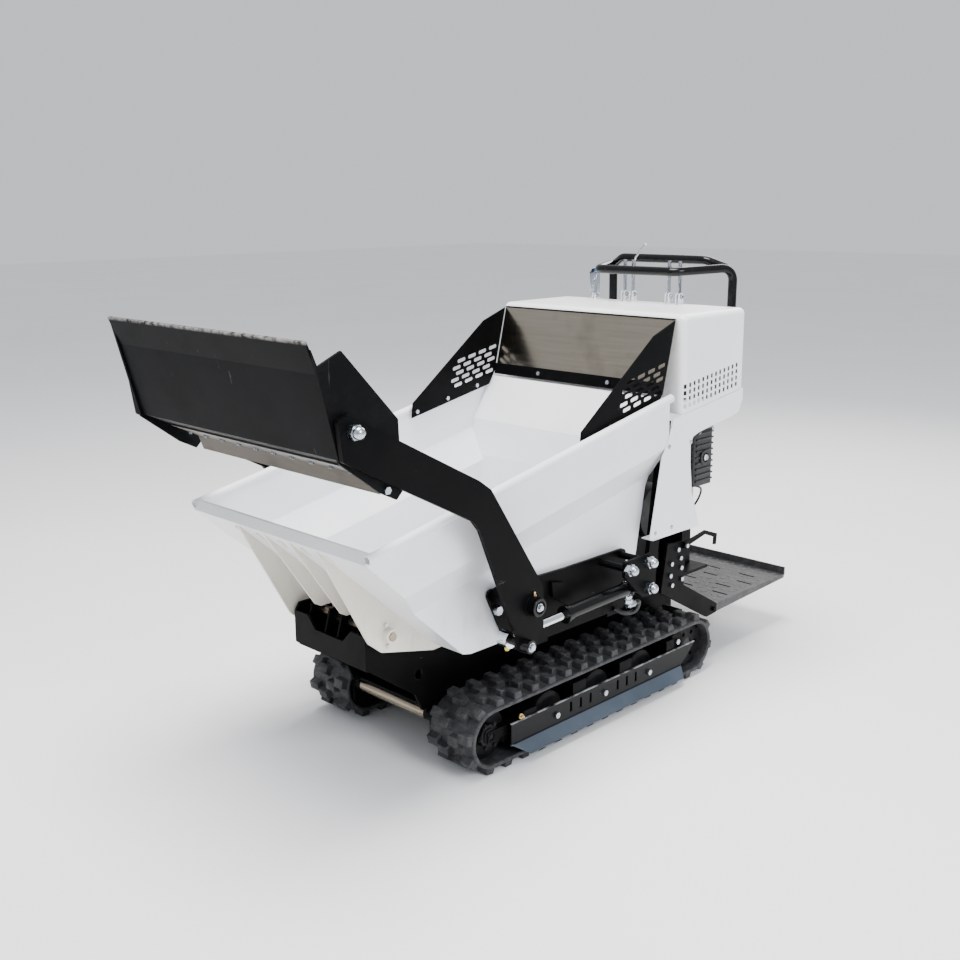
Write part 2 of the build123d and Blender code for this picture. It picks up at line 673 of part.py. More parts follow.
# Handlebar and control levers ------------------------------------------------

def bent_tube(points, bend, radius, wall):
    """A tube bent through points."""
    with BuildPart() as tube:
        with BuildLine() as route:
            FilletPolyline(*points, radius=bend)
        with BuildSketch(Plane(route.line @ 0, z_dir=route.line % 0)):
            Circle(radius)
            Circle(radius - wall, mode=Mode.SUBTRACT)
        sweep()
    return tube.part


half_loop = [(-700, 257, 1100), (-790, 257, 1150), (-790, 259, 1362), (-587, 165, 1354)]
loop = half_loop + [(x, -y, z) for x, y, z in reversed(half_loop)]
front_tube = bent_tube(loop, 42, TUBE_R, 2.5)
rear_tube = bent_tube([(-776, 240, 1362), (-744, 180, 1387), (-744, -180, 1387),
                       (-776, -240, 1362)], 40, TUBE_R, 2.5)
feet = both_sides(block((-700, HOOD_REAR - 0.4), (225, 289), (1070, 1130)))
keep(weld([front_tube, rear_tube, *feet]), "handlebar")


def control_lever(y):
    """Flat lever that pivots on its bracket, with a sleeve on top."""
    x, z = LEVER_PIVOT
    blade = plate([(x - 7, z - 10), (x + 7, z - 10), (x + 6, z + 60), (x - 6, z + 60)],
                  y - 2.5, y + 2.5, holes=[(x, z, 4.2)])
    return weld([blade, along((x, z + 58), (x, z + 118), y, 6.5)])


for name, y in zip(("drive_lever_right", "drive_lever_left", "tip_lever", "shovel_lever"),
                   LEVER_Y):
    keep(control_lever(y), name)

brake = weld([plate([(-651, 1248), (-637, 1248), (-634, 1310), (-640, 1318), (-652, 1316)],
                    BRAKE_Y - 2.5, BRAKE_Y + 2.5, holes=[(*BRAKE_PIVOT, 4.2)]),
              along((-643, 1312), (-655, 1345), BRAKE_Y, 4)])
keep(brake, "brake_lever")

THROTTLE_ROUTE = [(-668, THROTTLE_Y, 1247), (-676, -74, 1330), (-700, -88, 1392), (-702, -60, 1424),
                  (-702, -46, 1438)]
with BuildPart() as throttle:
    with BuildLine() as rod_line:
        FilletPolyline(*THROTTLE_ROUTE, radius=8)
    with BuildSketch(Plane(rod_line.line @ 0, z_dir=rod_line.line % 0)):
        Circle(3.5)
    sweep()
    with Locations((THROTTLE_PIVOT[0], THROTTLE_Y, THROTTLE_PIVOT[1])):
        Cylinder(8, 8)
throttle_bore = bar(THROTTLE_PIVOT, 3.2, THROTTLE_Y - 20, THROTTLE_Y + 20)
keep(cut(throttle.part, [throttle_bore]), "throttle_lever")


# Platform --------------------------------------------------------------------

hinge_x, hinge_z = PLATFORM_HINGE
platform_slots = []
for row in range(5):
    for column in range(4):
        x = -700 - row * 80
        y = -225 + column * 150 + (row % 2) * 40
        platform_slots.append(block((x - 5, x + 5), (y - 32, y + 32), (150, 260)))
platform = weld([
    block((-1136, -652), (-318, 318), (PLATFORM_Z - 5, PLATFORM_Z)),
    block((-1136, -1131), (-318, 318), (PLATFORM_Z - 5, PLATFORM_Z + 26)),
    *both_sides(plate([(-1131, 199), (-1131, 190), (-660, 172), (-628, 180), (-628, 206),
                       (-652, 204)], 312, 318)),
])
platform = cut(platform, [*platform_slots, bar(PLATFORM_HINGE, 8.3, -400, 400)])
keep(platform, "platform")

bracket = weld([
    plate([(-360, 492), (-463, 482), (-455, 330), (-660, 212), (-660, 180), (-600, 176),
           (-330, 330)], BRACKET_Y, BRACKET_Y + 10, corner=6),
    bar(PLATFORM_HINGE, 8, 306, 340),
    block((-460, -335), (300, BRACKET_Y), (DECK_Z - 10, DECK_Z)),
])
keep(weld(both_sides(bracket)), "platform_brackets")

LATCH_PIVOT = (-450, 470)
latch = plate([(-440, 462), (-444, 482), (-470, 486), (-560, 500), (-632, 474), (-628, 436),
               (-614, 438), (-616, 464), (-560, 486), (-470, 468), (-458, 456)],
              335, 341, holes=[(*LATCH_PIVOT, 5.3)])
keep(latch, "latch_hook")


# Fasteners -------------------------------------------------------------------

fasteners = []
for centre in CORNER_STUDS:
    fasteners.append(dome_nut(centre, 440, 34))
fasteners.append(dome_nut(BARREL_PIN, 440, 34))
for x in ROLLER_X:
    fasteners.append(bolt_head((x, ROLLER_Z), 367, 17, 8))
for x, z in ((-415, 462), (-430, 430), (-380, 420), (-435, 395), (-375, 380), (-440, 355),
             (-385, 345)):
    fasteners.append(bolt_head((x, z), BRACKET_Y + 10, 14, 7))
fasteners.append(weld([bar(LATCH_PIVOT, 5, BRACKET_Y + 10, 344),
                       bolt_head(LATCH_PIVOT, 343, 14, 6)]))
fasteners.append(bolt_head((447, 477), CHANNEL_Y + 5, 24, 14))
fasteners.append(bolt_head((-395, 150), 354, 17, 8))
keep(weld(both_sides(weld(fasteners))), "frame_fasteners")

# Tipping cylinder under the skip, on the middle line
tip_length = hypot(TIP_HEAD[0] - TIP_FOOT[0], TIP_HEAD[1] - TIP_FOOT[1])
tip_rod = weld([along(TIP_FOOT, TIP_HEAD, 0, 14, inset=(115, 16)),
                eye(TIP_HEAD, 0, 20, 14, 10.3)])
keep(cut(tip_rod, [bar(TIP_HEAD, 10.3, -60, 60)]), "tip_rod")
keep(weld([along(TIP_FOOT, TIP_HEAD, 0, 28, bore=14.3, inset=(24, 50)),
           along(TIP_FOOT, TIP_HEAD, 0, 27, inset=(14, tip_length - 26)),
           eye(TIP_FOOT, 0, 20, 14, 10)]), "tip_barrel")
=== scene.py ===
# %% [markdown]
# # A self-loading power wheelbarrow
# The frame holds the engineering: every plate, tube, wheel and pin at its real size.
# This file gives those parts their paint, rubber and metal, and adds the small things
# that catch the eye: tread lugs, hoses, weld beads, grease nipples and bolt heads.
# Everything is in metres. +X points to the shovel, +Y to the machine's left, +Z up.

# %% Load the frame
import bmesh
import bpy
import json
from math import cos, pi, radians, sin
from mathutils import Matrix, Vector


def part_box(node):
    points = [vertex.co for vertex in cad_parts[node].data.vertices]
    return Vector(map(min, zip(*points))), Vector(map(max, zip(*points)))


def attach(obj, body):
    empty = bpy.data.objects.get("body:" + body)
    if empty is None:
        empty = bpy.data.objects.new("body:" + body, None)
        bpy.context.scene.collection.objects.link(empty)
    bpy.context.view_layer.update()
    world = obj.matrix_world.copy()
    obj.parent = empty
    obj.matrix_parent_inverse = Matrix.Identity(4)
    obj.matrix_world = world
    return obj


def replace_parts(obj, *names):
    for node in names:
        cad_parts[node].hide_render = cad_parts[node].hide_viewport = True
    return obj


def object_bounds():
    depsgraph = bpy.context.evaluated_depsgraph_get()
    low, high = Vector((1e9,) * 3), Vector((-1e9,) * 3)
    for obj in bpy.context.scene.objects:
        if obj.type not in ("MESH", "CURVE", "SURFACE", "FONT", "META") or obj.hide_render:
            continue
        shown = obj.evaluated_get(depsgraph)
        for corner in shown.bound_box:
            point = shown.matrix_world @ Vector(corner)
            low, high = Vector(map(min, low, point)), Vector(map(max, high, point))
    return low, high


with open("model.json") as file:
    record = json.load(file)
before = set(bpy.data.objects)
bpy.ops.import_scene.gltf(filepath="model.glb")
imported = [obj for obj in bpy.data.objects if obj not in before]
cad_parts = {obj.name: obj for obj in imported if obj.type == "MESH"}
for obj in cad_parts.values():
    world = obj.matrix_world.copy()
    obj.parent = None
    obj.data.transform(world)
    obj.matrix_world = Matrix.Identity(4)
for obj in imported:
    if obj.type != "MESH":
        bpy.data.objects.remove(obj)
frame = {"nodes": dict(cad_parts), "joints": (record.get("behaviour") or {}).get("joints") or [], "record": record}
cad_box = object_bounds()
print("the machine's box, low and high corner:", cad_box)

# %% [markdown]
# ## Where things are
# A joint's position is the best mark for a pin, and a node's box for a wheel or a belt.
# Pieces placed by these follow their part when the design changes. Smaller fittings are
# placed by measure, and have to be moved by hand.

# %% Places
joint_at = {joint["name"]: joint.get("pos_m") for joint in frame["joints"]}
MM = 0.001
LEFT, RIGHT = 1, -1
UP, DOWN, BACK = (0, 0, 1), (0, 0, -1), (-1, 0, 0)
ARM_PIVOT = Vector(joint_at["arm_lift"])
ROD_PIN = Vector(joint_at["lift_rod_pivot"])
TILT_PIN = Vector(joint_at["skip_tip"])
BRAKE_PIN = Vector(joint_at["brake_lever_travel"])
LEVER_PINS = [Vector(joint_at[f"{name}_travel"])
              for name in ("drive_lever_right", "drive_lever_left", "tip_lever", "shovel_lever")]
print("arms turn at", ARM_PIVOT[:], "and the skip at", TILT_PIN[:])

# %% [markdown]
# ## Shapes from a few operators
# Almost every fitting on a machine is turned, drawn or cut from plate. A lathe is a
# profile spun about a line, a pipe is a row of rings bridged together, and a plate is
# one face extruded. A few helpers cover them, and each adds to a bmesh that is open.

# %% Turned shape
def turned(bm, centre, direction, profile, steps=20):
    """Spin (along, radius) pairs about a line: a pin, washer, dome, knob or weld bead."""
    centre = Vector(centre)
    axis = Vector(direction).normalized()
    turn = axis.to_track_quat("Z", "Y").to_matrix()
    points = [bm.verts.new(centre + turn @ Vector((radius, 0, along))) for along, radius in profile]
    edges = [bm.edges.new(pair) for pair in zip(points, points[1:])]
    bmesh.ops.spin(bm, geom=points + edges, cent=centre, axis=axis, angle=2 * pi,
                   steps=steps, use_merge=True)


# %% Rod between two points
def rod(bm, start, end, radius, steps=14, round_off=0.0):
    """A round bar with its two ends closed and, where asked, chamfered."""
    start, end = Vector(start), Vector(end)
    length = (end - start).length
    turned(bm, start, end - start,
           [(0, 0), (0, radius - round_off), (round_off, radius), (length - round_off, radius),
            (length, radius - round_off), (length, 0)], steps)


# %% Plate
def plate(bm, outline, low, high, axis="Y", rim=0.0):
    """A flat outline made solid between two heights along an axis, its edges eased by rim."""
    place = {"X": lambda a, b, c: (c, a, b), "Y": lambda a, b, c: (a, c, b),
             "Z": lambda a, b, c: (a, b, c)}[axis]
    corners = [bm.verts.new(place(a, b, low)) for a, b in outline]
    face = bm.faces.new(corners)
    made = bmesh.ops.extrude_face_region(bm, geom=[face])["geom"]
    moved = [item for item in made if isinstance(item, bmesh.types.BMVert)]
    bmesh.ops.translate(bm, verts=moved, vec=Vector(place(0, 0, high - low)))
    if rim:
        sharp = list({edge for vert in corners + moved for edge in vert.link_edges})
        bmesh.ops.bevel(bm, geom=sharp, offset=rim, segments=2, profile=0.5, affect="EDGES",
                        clamp_overlap=True, material=-1)


# %% Box
def slab(bm, low, high, rim=0.0):
    """A box between two corners."""
    plate(bm, [(low[0], low[1]), (high[0], low[1]), (high[0], high[1]), (low[0], high[1])],
          low[2], high[2], "Z", rim)


# %% Pipe along points
def rounded(points, steps=5):
    """Extra points on a smooth curve through the given ones."""
    points = [Vector(point) for point in points]
    ends = [2 * points[0] - points[1], *points, 2 * points[-1] - points[-2]]
    curve = []
    for before, a, b, after in zip(ends, ends[1:], ends[2:], ends[3:]):
        for step in range(steps):
            t = step / steps
            curve.append(0.5 * (2 * a + (b - before) * t + (2 * before - 5 * a + 4 * b - after) * t ** 2
                                + (3 * a - before - 3 * b + after) * t ** 3))
    return [*curve, points[-1]]


def pipe(bm, points, radius, sides=10, steps=5):
    """A hose or bent rod: rings along a curve, bridged one to the next and capped."""
    route = rounded(points, steps)
    heading = (route[1] - route[0]).normalized()
    turn = heading.to_track_quat("Z", "Y")
    rings = []
    for index, point in enumerate(route):
        ahead = route[min(index + 1, len(route) - 1)] - route[max(index - 1, 0)]
        turn = heading.rotation_difference(ahead.normalized()) @ turn
        heading = ahead.normalized()
        at = Matrix.Translation(point) @ turn.to_matrix().to_4x4()
        ring = bmesh.ops.create_circle(bm, segments=sides, radius=radius, matrix=at)["verts"]
        rings.append(ring)
    loops = [list({edge for vert in ring for edge in vert.link_edges}) for ring in rings]
    for one, other in zip(loops, loops[1:]):
        bmesh.ops.bridge_loops(bm, edges=one + other)
    for ring in (rings[0], rings[-1]):
        bm.faces.new(ring)


# %% Weld bead
def bead(bm, start, end, radius=0.0028, ripple=0.0045):
    """A straight run of weld, rippled where each drop froze."""
    start, end = Vector(start), Vector(end)
    length = (end - start).length
    count = max(2, int(length / ripple))
    profile = [(0, 0)]
    for index in range(count):
        middle = (index + 0.5) * length / count
        profile.append((middle, radius))
        if index < count - 1:
            profile.append(((index + 1) * length / count, radius * 0.78))
    turned(bm, start, end - start, [*profile, (length, 0)], 7)


# %% Ring
def ring(bm, centre, direction, inner, outer, thick, steps=24):
    """A washer, collar or round weld."""
    ease = min(thick, outer - inner) * 0.2
    turned(bm, centre, direction,
           [(0, inner), (0, outer - ease), (ease, outer), (thick - ease, outer),
            (thick, outer - ease), (thick, inner), (0, inner)], steps)


# %% Bolt
def bolt(bm, centre, direction, across, height, washer=True):
    """A hexagon head on its washer."""
    direction = Vector(direction).normalized()
    centre = Vector(centre)
    if washer:
        ring(bm, centre, direction, 0.0005, across * 0.78, across * 0.1)
        centre = centre + direction * across * 0.1
    flat = across / 2 / cos(pi / 6)
    turned(bm, centre, direction, [(0, 0), (0, flat), (height * 0.85, flat), (height, flat * 0.86),
                                   (height, 0)], 6)


# %% Finished piece
made_pieces = {}


def piece(name, bm, finish, body, crease=32):
    """Turn a bmesh into an object that rides on a body of the frame."""
    bmesh.ops.remove_doubles(bm, verts=bm.verts, dist=1e-6)
    bmesh.ops.recalc_face_normals(bm, faces=bm.faces)
    mesh = bpy.data.meshes.new(name)
    bm.to_mesh(mesh)
    bm.free()
    mesh.shade_smooth()
    mesh.set_sharp_from_angle(angle=radians(crease))
    mesh.materials.append(finish)
    made = bpy.data.objects.new(name, mesh)
    bpy.context.scene.collection.objects.link(made)
    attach(made, body)
    made_pieces[name] = len(mesh.polygons)
    return made


# %% [markdown]
# ## Finishes
# A powder coat, a zinc plating and a rubber all need the same few ideas: a colour that
# wanders a little, a roughness that wanders with it, a fine bump, and dirt or wear on top.
# Each finish starts from the same short recipe and adds what is its own. The patterns
# read Object coordinates, which are metres here, so a scale of 100 is a centimetre.

# %% Recipe for a finish
class Finish:
    """A material that is being mixed."""

    def __init__(self, name, metallic=0.0):
        self.material = bpy.data.materials.new(name)
        self.material.use_nodes = True
        self.tree = self.material.node_tree
        self.shader = self.tree.nodes["Principled BSDF"]
        self.shader.inputs["Metallic"].default_value = metallic
        self.place = self.tree.nodes.new("ShaderNodeTexCoord").outputs["Object"]

    def link(self, source, target):
        self.tree.links.new(source, target)

    def noise(self, scale, detail=4.0, stretch=(1, 1, 1), rough=0.55):
        """Cloudy pattern, stretched along an axis by a small number there."""
        mapping = self.tree.nodes.new("ShaderNodeMapping")
        mapping.inputs["Scale"].default_value = stretch
        self.link(self.place, mapping.inputs["Vector"])
        cloud = self.tree.nodes.new("ShaderNodeTexNoise")
        cloud.inputs["Scale"].default_value = scale
        cloud.inputs["Detail"].default_value = detail
        cloud.inputs["Roughness"].default_value = rough
        self.link(mapping.outputs["Vector"], cloud.inputs["Vector"])
        return cloud.outputs["Fac"]

    def height(self, low, high, axis="Z"):
        """0 below low and 1 above high along an axis of the machine."""
        split = self.tree.nodes.new("ShaderNodeSeparateXYZ")
        self.link(self.place, split.inputs["Vector"])
        return self.span(split.outputs[axis], low, high)

    def span(self, value, low, high, to_low=0.0, to_high=1.0):
        """A value stretched from one span to another, and held inside it."""
        node = self.tree.nodes.new("ShaderNodeMapRange")
        for socket, number in (("From Min", low), ("From Max", high), ("To Min", to_low),
                               ("To Max", to_high)):
            node.inputs[socket].default_value = number
        self.link(value, node.inputs["Value"])
        return node.outputs["Result"]

    def times(self, one, other):
        node = self.tree.nodes.new("ShaderNodeMath")
        node.operation = "MULTIPLY"
        self.link(one, node.inputs[0])
        if isinstance(other, float):
            node.inputs[1].default_value = other
        else:
            self.link(other, node.inputs[1])
        return node.outputs["Value"]

    def colours(self, value, *stops):
        """A colour ramp of (position, colour) stops."""
        ramp = self.tree.nodes.new("ShaderNodeValToRGB")
        while len(ramp.color_ramp.elements) < len(stops):
            ramp.color_ramp.elements.new(0.5)
        for element, (position, colour) in zip(ramp.color_ramp.elements, stops):
            element.position = position
            element.color = (*colour, 1)
        self.link(value, ramp.inputs["Fac"])
        return ramp.outputs["Color"]

    def over(self, below, above, mask):
        """A colour laid over another where the mask is 1."""
        mix = self.tree.nodes.new("ShaderNodeMix")
        mix.data_type = "RGBA"
        self.link(mask, mix.inputs["Factor"])
        self.link(below, mix.inputs[6])
        if isinstance(above, tuple):
            mix.inputs[7].default_value = (*above, 1)
        else:
            self.link(above, mix.inputs[7])
        return mix.outputs[2]

    def coat(self, colour, roughness, bump=None, strength=0.2, depth=0.001):
        """Wire colour, roughness and bump into the shader, and hand the material over."""
        self.link(colour, self.shader.inputs["Base Color"])
        self.link(roughness, self.shader.inputs["Roughness"])
        if bump:
            node = self.tree.nodes.new("ShaderNodeBump")
            node.inputs["Strength"].default_value = strength
            node.inputs["Distance"].default_value = depth
            self.link(bump, node.inputs["Height"])
            self.link(node.outputs["Normal"], self.shader.inputs["Normal"])
        return self.material


# %% [markdown]
# ### Powder coat
# Powder coat is thick and slightly orange-peeled. White shows dust in soft patches and
# road dirt low down, and a thin clear coat in its shader gives the soft second highlight
# that baked paint has. Black shows pale scuffs and dust, and its specular level is low.

# %% White powder coat
def white_powder(name, light, shade, dirt_top=0.62):
    paint = Finish(name)
    cloud = paint.noise(3.5, 3)
    base = paint.colours(cloud, (0.3, shade), (0.7, light))
    grime = paint.span(paint.noise(26, 6, (1, 1, 0.35), 0.7), 0.52, 0.78)
    low = paint.height(dirt_top, dirt_top - 0.3)
    dirty = paint.over(base, (0.52, 0.47, 0.40), paint.times(paint.times(grime, low), 0.55))
    specks = paint.span(paint.noise(240, 2), 0.735, 0.76)
    dirty = paint.over(dirty, (0.33, 0.30, 0.27), paint.times(specks, 0.6))
    paint.shader.inputs["Coat Weight"].default_value = 0.3
    paint.shader.inputs["Coat Roughness"].default_value = 0.18
    return paint.coat(dirty, paint.span(cloud, 0.3, 0.7, 0.3, 0.42), paint.noise(420, 2), 0.05)


skip_white = white_powder("skip_white", (0.87, 0.88, 0.895), (0.79, 0.81, 0.84))
hood_white = white_powder("hood_white", (0.88, 0.885, 0.89), (0.82, 0.83, 0.845), 0.7)
# Painted light: the ribs are white paint, and this warm cream is painted sunlight on them.
rib_sunlit_white = white_powder("rib_sunlit_white", (0.82, 0.775, 0.69), (0.73, 0.69, 0.60), 0.75)
print("white coats:", skip_white.name, hood_white.name, rib_sunlit_white.name)


# %% Black powder coat
def black_powder(name, base_level, gloss, dust=0.25, shine=0.05):
    paint = Finish(name)
    cloud = paint.noise(5, 4)
    base = paint.colours(cloud, (0.3, (base_level * 0.75, base_level * 0.8, base_level * 0.9)),
                         (0.75, (base_level * 1.5, base_level * 1.55, base_level * 1.65)))
    film = paint.span(paint.noise(14, 7, (1, 1, 0.6), 0.72), 0.5, 0.8)
    dusty = paint.over(base, (0.09, 0.085, 0.078), paint.times(film, dust))
    scuff = paint.span(paint.noise(46, 3, (0.25, 1, 1.6)), 0.73, 0.75)
    dusty = paint.over(dusty, (0.12, 0.12, 0.12), paint.times(scuff, 0.35))
    paint.shader.inputs["Specular IOR Level"].default_value = shine
    return paint.coat(dusty, paint.span(film, 0, 1, gloss, gloss + 0.25), paint.noise(520, 2), 0.06)


black_satin = black_powder("black_satin", 0.0018, 0.40, 0.02)
black_gloss = black_powder("black_gloss", 0.002, 0.18, 0.02, 0.22)
wheel_black = black_powder("wheel_black", 0.005, 0.38, 0.2, 0.1)
print("black coats:", black_satin.name, black_gloss.name, wheel_black.name)


# %% Shovel paint, scraped to bare steel along the cutting edge
def scraped_paint():
    paint = Finish("shovel_paint")
    cloud = paint.noise(4, 5)
    base = paint.colours(cloud, (0.3, (0.0014, 0.0015, 0.0018)), (0.75, (0.004, 0.0043, 0.005)))
    film = paint.span(paint.noise(9, 8, (1, 0.6, 1), 0.75), 0.48, 0.82)
    base = paint.over(base, (0.07, 0.068, 0.066), paint.times(film, 0.12))
    scratch = paint.span(paint.noise(30, 4, (1.5, 1.2, 0.12)), 0.68, 0.72)
    base = paint.over(base, (0.10, 0.10, 0.105), paint.times(scratch, 0.35))
    paint.shader.inputs["Specular IOR Level"].default_value = 0.06
    edge = paint.height(cad_box[1][2] - 0.152, cad_box[1][2] - 0.146)
    ragged = paint.span(paint.noise(60, 5), 0.35, 0.6)
    bare = paint.times(edge, ragged)
    base = paint.over(base, (0.30, 0.29, 0.28), bare)
    paint.link(paint.times(bare, 0.9), paint.shader.inputs["Metallic"])
    return paint.coat(base, paint.span(film, 0, 1, 0.5, 0.7), paint.noise(300, 3), 0.08)


shovel_black = scraped_paint()


# %% [markdown]
# ### Metals
# Bare metals differ in grain. Rolled sheet has long streaks, plating is cloudy and
# fine, and a chromed rod is nearly a mirror. The streaks are noise drawn out along one axis.

# %% Metals
def metal(name, light, dark, rough, grain=(1, 1, 1), scale=60, strength=0.06):
    bare = Finish(name, metallic=1.0)
    streak = bare.noise(scale, 5, grain, 0.65)
    cloud = bare.noise(scale * 0.14, 3)
    tone = bare.colours(streak, (0.3, dark), (0.7, light))
    tone = bare.over(tone, tuple(level * 0.62 for level in dark),
                     bare.times(bare.span(cloud, 0.55, 0.8), 0.6))
    return bare.coat(tone, bare.span(streak, 0.3, 0.7, *rough), streak, strength, 0.0004)


chrome = metal("chrome", (0.80, 0.82, 0.85), (0.66, 0.69, 0.73), (0.05, 0.12), (0.05, 1, 1), 90)
zinc = metal("zinc_plate", (0.62, 0.655, 0.70), (0.36, 0.39, 0.43), (0.18, 0.32), scale=190)
# Its warm brown is a painted reflection of the warm ground and the sun on the back panel.
bright_sheet = metal("bright_sheet", (0.37, 0.325, 0.265), (0.31, 0.27, 0.215), (0.16, 0.22),
                     (0.05, 0.05, 1), 60, 0.01)
# Its dark brown is a painted reflection of the warm ground on a black strip.
edge_strip_reflection = metal("edge_strip_reflection", (0.105, 0.090, 0.074), (0.05, 0.043, 0.036), (0.30, 0.5),
                   (1, 0.1, 1), 70, 0.12)
# Its brown-gold tone is a painted reflection of the warm ground.
shaft_steel_ground_reflection = metal("shaft_steel_ground_reflection", (0.36, 0.30, 0.225), (0.20, 0.165, 0.12), (0.18, 0.34),
                    (1, 0.06, 1), 80)
cast_alloy = metal("cast_alloy", (0.62, 0.64, 0.66), (0.40, 0.42, 0.44), (0.4, 0.6), scale=320,
                   strength=0.3)
brass = metal("brass", (0.78, 0.58, 0.28), (0.55, 0.38, 0.16), (0.25, 0.4), scale=200)
print("metals mixed:", [m.name for m in (chrome, zinc, bright_sheet, edge_strip_reflection, shaft_steel_ground_reflection)])


# %% [markdown]
# ### Rubber, plastic and castings
# Track rubber is charcoal with pale dust caught in its pores and on the lugs' faces, so
# a coarse noise lays the dust and a fine one roughens it. Moulded plastic has a fine
# even grain, and a casting is coarse all over.

# %% Rubber, plastic, casting
def grainy(name, light, dark, dust, dust_amount, rough, grain, strength, scale=8):
    soft = Finish(name)
    cloud = soft.noise(scale, 5, rough=0.65)
    base = soft.colours(cloud, (0.3, dark), (0.72, light))
    film = soft.span(soft.noise(scale * 4.5, 6, rough=0.75), 0.46, 0.72)
    base = soft.over(base, dust, soft.times(film, dust_amount))
    fine = soft.noise(grain, 3)
    return soft.coat(base, soft.span(fine, 0.3, 0.7, *rough), fine, strength, 0.0008)


track_rubber = grainy("track_rubber", (0.028, 0.029, 0.032), (0.007, 0.0073, 0.0085),
                      (0.13, 0.13, 0.13), 0.42, (0.5, 0.8), 260, 0.5)
hose_rubber = grainy("hose_rubber", (0.010, 0.010, 0.011), (0.005, 0.005, 0.006),
                     (0.05, 0.05, 0.05), 0.12, (0.4, 0.55), 500, 0.15)
black_plastic = grainy("black_plastic", (0.010, 0.0105, 0.0115), (0.005, 0.0053, 0.006),
                       (0.05, 0.05, 0.05), 0.12, (0.42, 0.58), 900, 0.25)
dark_casting = grainy("dark_casting", (0.024, 0.024, 0.026), (0.009, 0.0095, 0.0105),
                      (0.08, 0.075, 0.07), 0.3, (0.5, 0.7), 400, 0.5)
tread_grey = grainy("tread_grey", (0.035, 0.036, 0.038), (0.014, 0.0145, 0.016),
                    (0.12, 0.117, 0.11), 0.4, (0.40, 0.6), 300, 0.2)
tread_worn = grainy("tread_worn", (0.11, 0.112, 0.115), (0.04, 0.041, 0.043),
                    (0.20, 0.195, 0.185), 0.4, (0.35, 0.5), 300, 0.1, 40)
cap_yellow = grainy("cap_yellow", (0.85, 0.80, 0.06), (0.70, 0.62, 0.04),
                    (0.5, 0.45, 0.2), 0.1, (0.35, 0.45), 500, 0.05)
hook_blue = grainy("hook_blue", (0.10, 0.24, 0.62), (0.06, 0.15, 0.45),
                   (0.4, 0.45, 0.5), 0.2, (0.3, 0.42), 500, 0.05)

# %% [markdown]
# ### Track covers
# The cover is black down to its fold. The skirt below the fold flares outwards, and its
# blue-grey is a painted sky reflection; a painted highlight lies in patches along the top edge.

# %% Cover paint
COVER_FOLD_Z = 66 * MM
COVER_RIM_Z = 129 * MM
BLEND = 0.5 * MM


def cover_paint_and_painted_light():
    """Black cover with a painted highlight along its top edge and a painted blue-grey sky reflection on the skirt
    below its fold.
    """
    paint = Finish("cover_black_and_painted_light")
    cloud = paint.noise(4, 5)
    black = paint.colours(cloud, (0.3, (0.0016, 0.0017, 0.002)), (0.75, (0.004, 0.0043, 0.005)))
    # Painted sky reflection: the skirt's blue-grey stands in for the sky mirrored in black gloss.
    painted_sky_reflection = paint.colours(cloud, (0.3, (0.045, 0.058, 0.078)), (0.7, (0.075, 0.092, 0.118)))
    colour = paint.over(black, painted_sky_reflection, paint.height(COVER_FOLD_Z + BLEND, COVER_FOLD_Z - BLEND))
    # Painted highlight: a lighter grey in patches along the cover's top edge.
    top = paint.height(COVER_RIM_Z - BLEND, COVER_RIM_Z + BLEND)
    rim = paint.times(top, paint.span(paint.noise(35, 4), 0.35, 0.6))
    colour = paint.over(colour, (0.32, 0.33, 0.34), rim)
    paint.shader.inputs["Specular IOR Level"].default_value = 0.15
    return paint.coat(colour, paint.span(cloud, 0, 1, 0.28, 0.45), paint.noise(300, 3), 0.05)


cover_black_and_painted_light = cover_paint_and_painted_light()
print("cover paint:", cover_black_and_painted_light.name)

# %% [markdown]
# ## Paint the frame's own parts
# The record names a material slot for every node, so one table from slot to finish
# paints the whole machine. A few nodes then get a finish of their own.

# %% Paint by slot
by_slot = {
    "black_powder_coat": black_satin, "white_powder_coat": skip_white,
    "track_rubber": track_rubber, "wheel_steel": wheel_black, "zinc_fastener": zinc,
    "shovel_paint": shovel_black, "strip_steel": edge_strip_reflection, "chrome_rod": chrome,
    "bright_sheet": bright_sheet, "ground_shaft": shaft_steel_ground_reflection, "engine_casting": dark_casting,
    "black_plastic": black_plastic, "raw_aluminium": cast_alloy, "platform_plate": tread_grey,
    "zinc_lever": zinc,
}
by_node = {"handlebar": black_gloss, "engine_hood": hood_white, "side_panel_left": hood_white,
           "side_panel_right": hood_white, "skip_ribs": rib_sunlit_white, "lift_barrels": black_gloss,
           "tip_barrel": black_gloss, "rod_end_pins": black_gloss, "exhaust_muffler": shaft_steel_ground_reflection,
           "throttle_lever": zinc, "track_covers": cover_black_and_painted_light}
for part in frame["record"]["subparts"]:
    finish = by_node.get(part["node"], by_slot[part["material_slot"]])
    data = frame["nodes"][part["node"]].data
    data.materials.clear()
    data.materials.append(finish)

# %% [markdown]
# ## Rubber tracks
# A track is a flat band with two staggered rows of lugs outside and a row of horns inside
# that keeps it on its wheels. The frame's belt has plain blocks, so this piece takes its
# place. The band is one section pushed along the lower run, spun round the idler, pushed
# back and spun round the sprocket. Each lug is two bevelled blocks, one a little ahead of
# the other, and the two rows are half a pitch apart.

# %% The band's path
belt_low, belt_high = (Vector(corner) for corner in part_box("track_belt_left"))
TRACK_R = (belt_high.z - belt_low.z) / 2
TRACK_X = (belt_high.x + belt_low.x) / 2
TRACK_Y = (belt_high.y + belt_low.y) / 2
TRACK_WIDTH = belt_high.y - belt_low.y
RUN = (belt_high.x - belt_low.x) / 2 - TRACK_R
LUG_HEIGHT = 20 * MM
BAND = 12 * MM
BAND_R = TRACK_R - LUG_HEIGHT
LUGS = 34
PITCH = 2 * (2 * RUN + pi * BAND_R) / LUGS


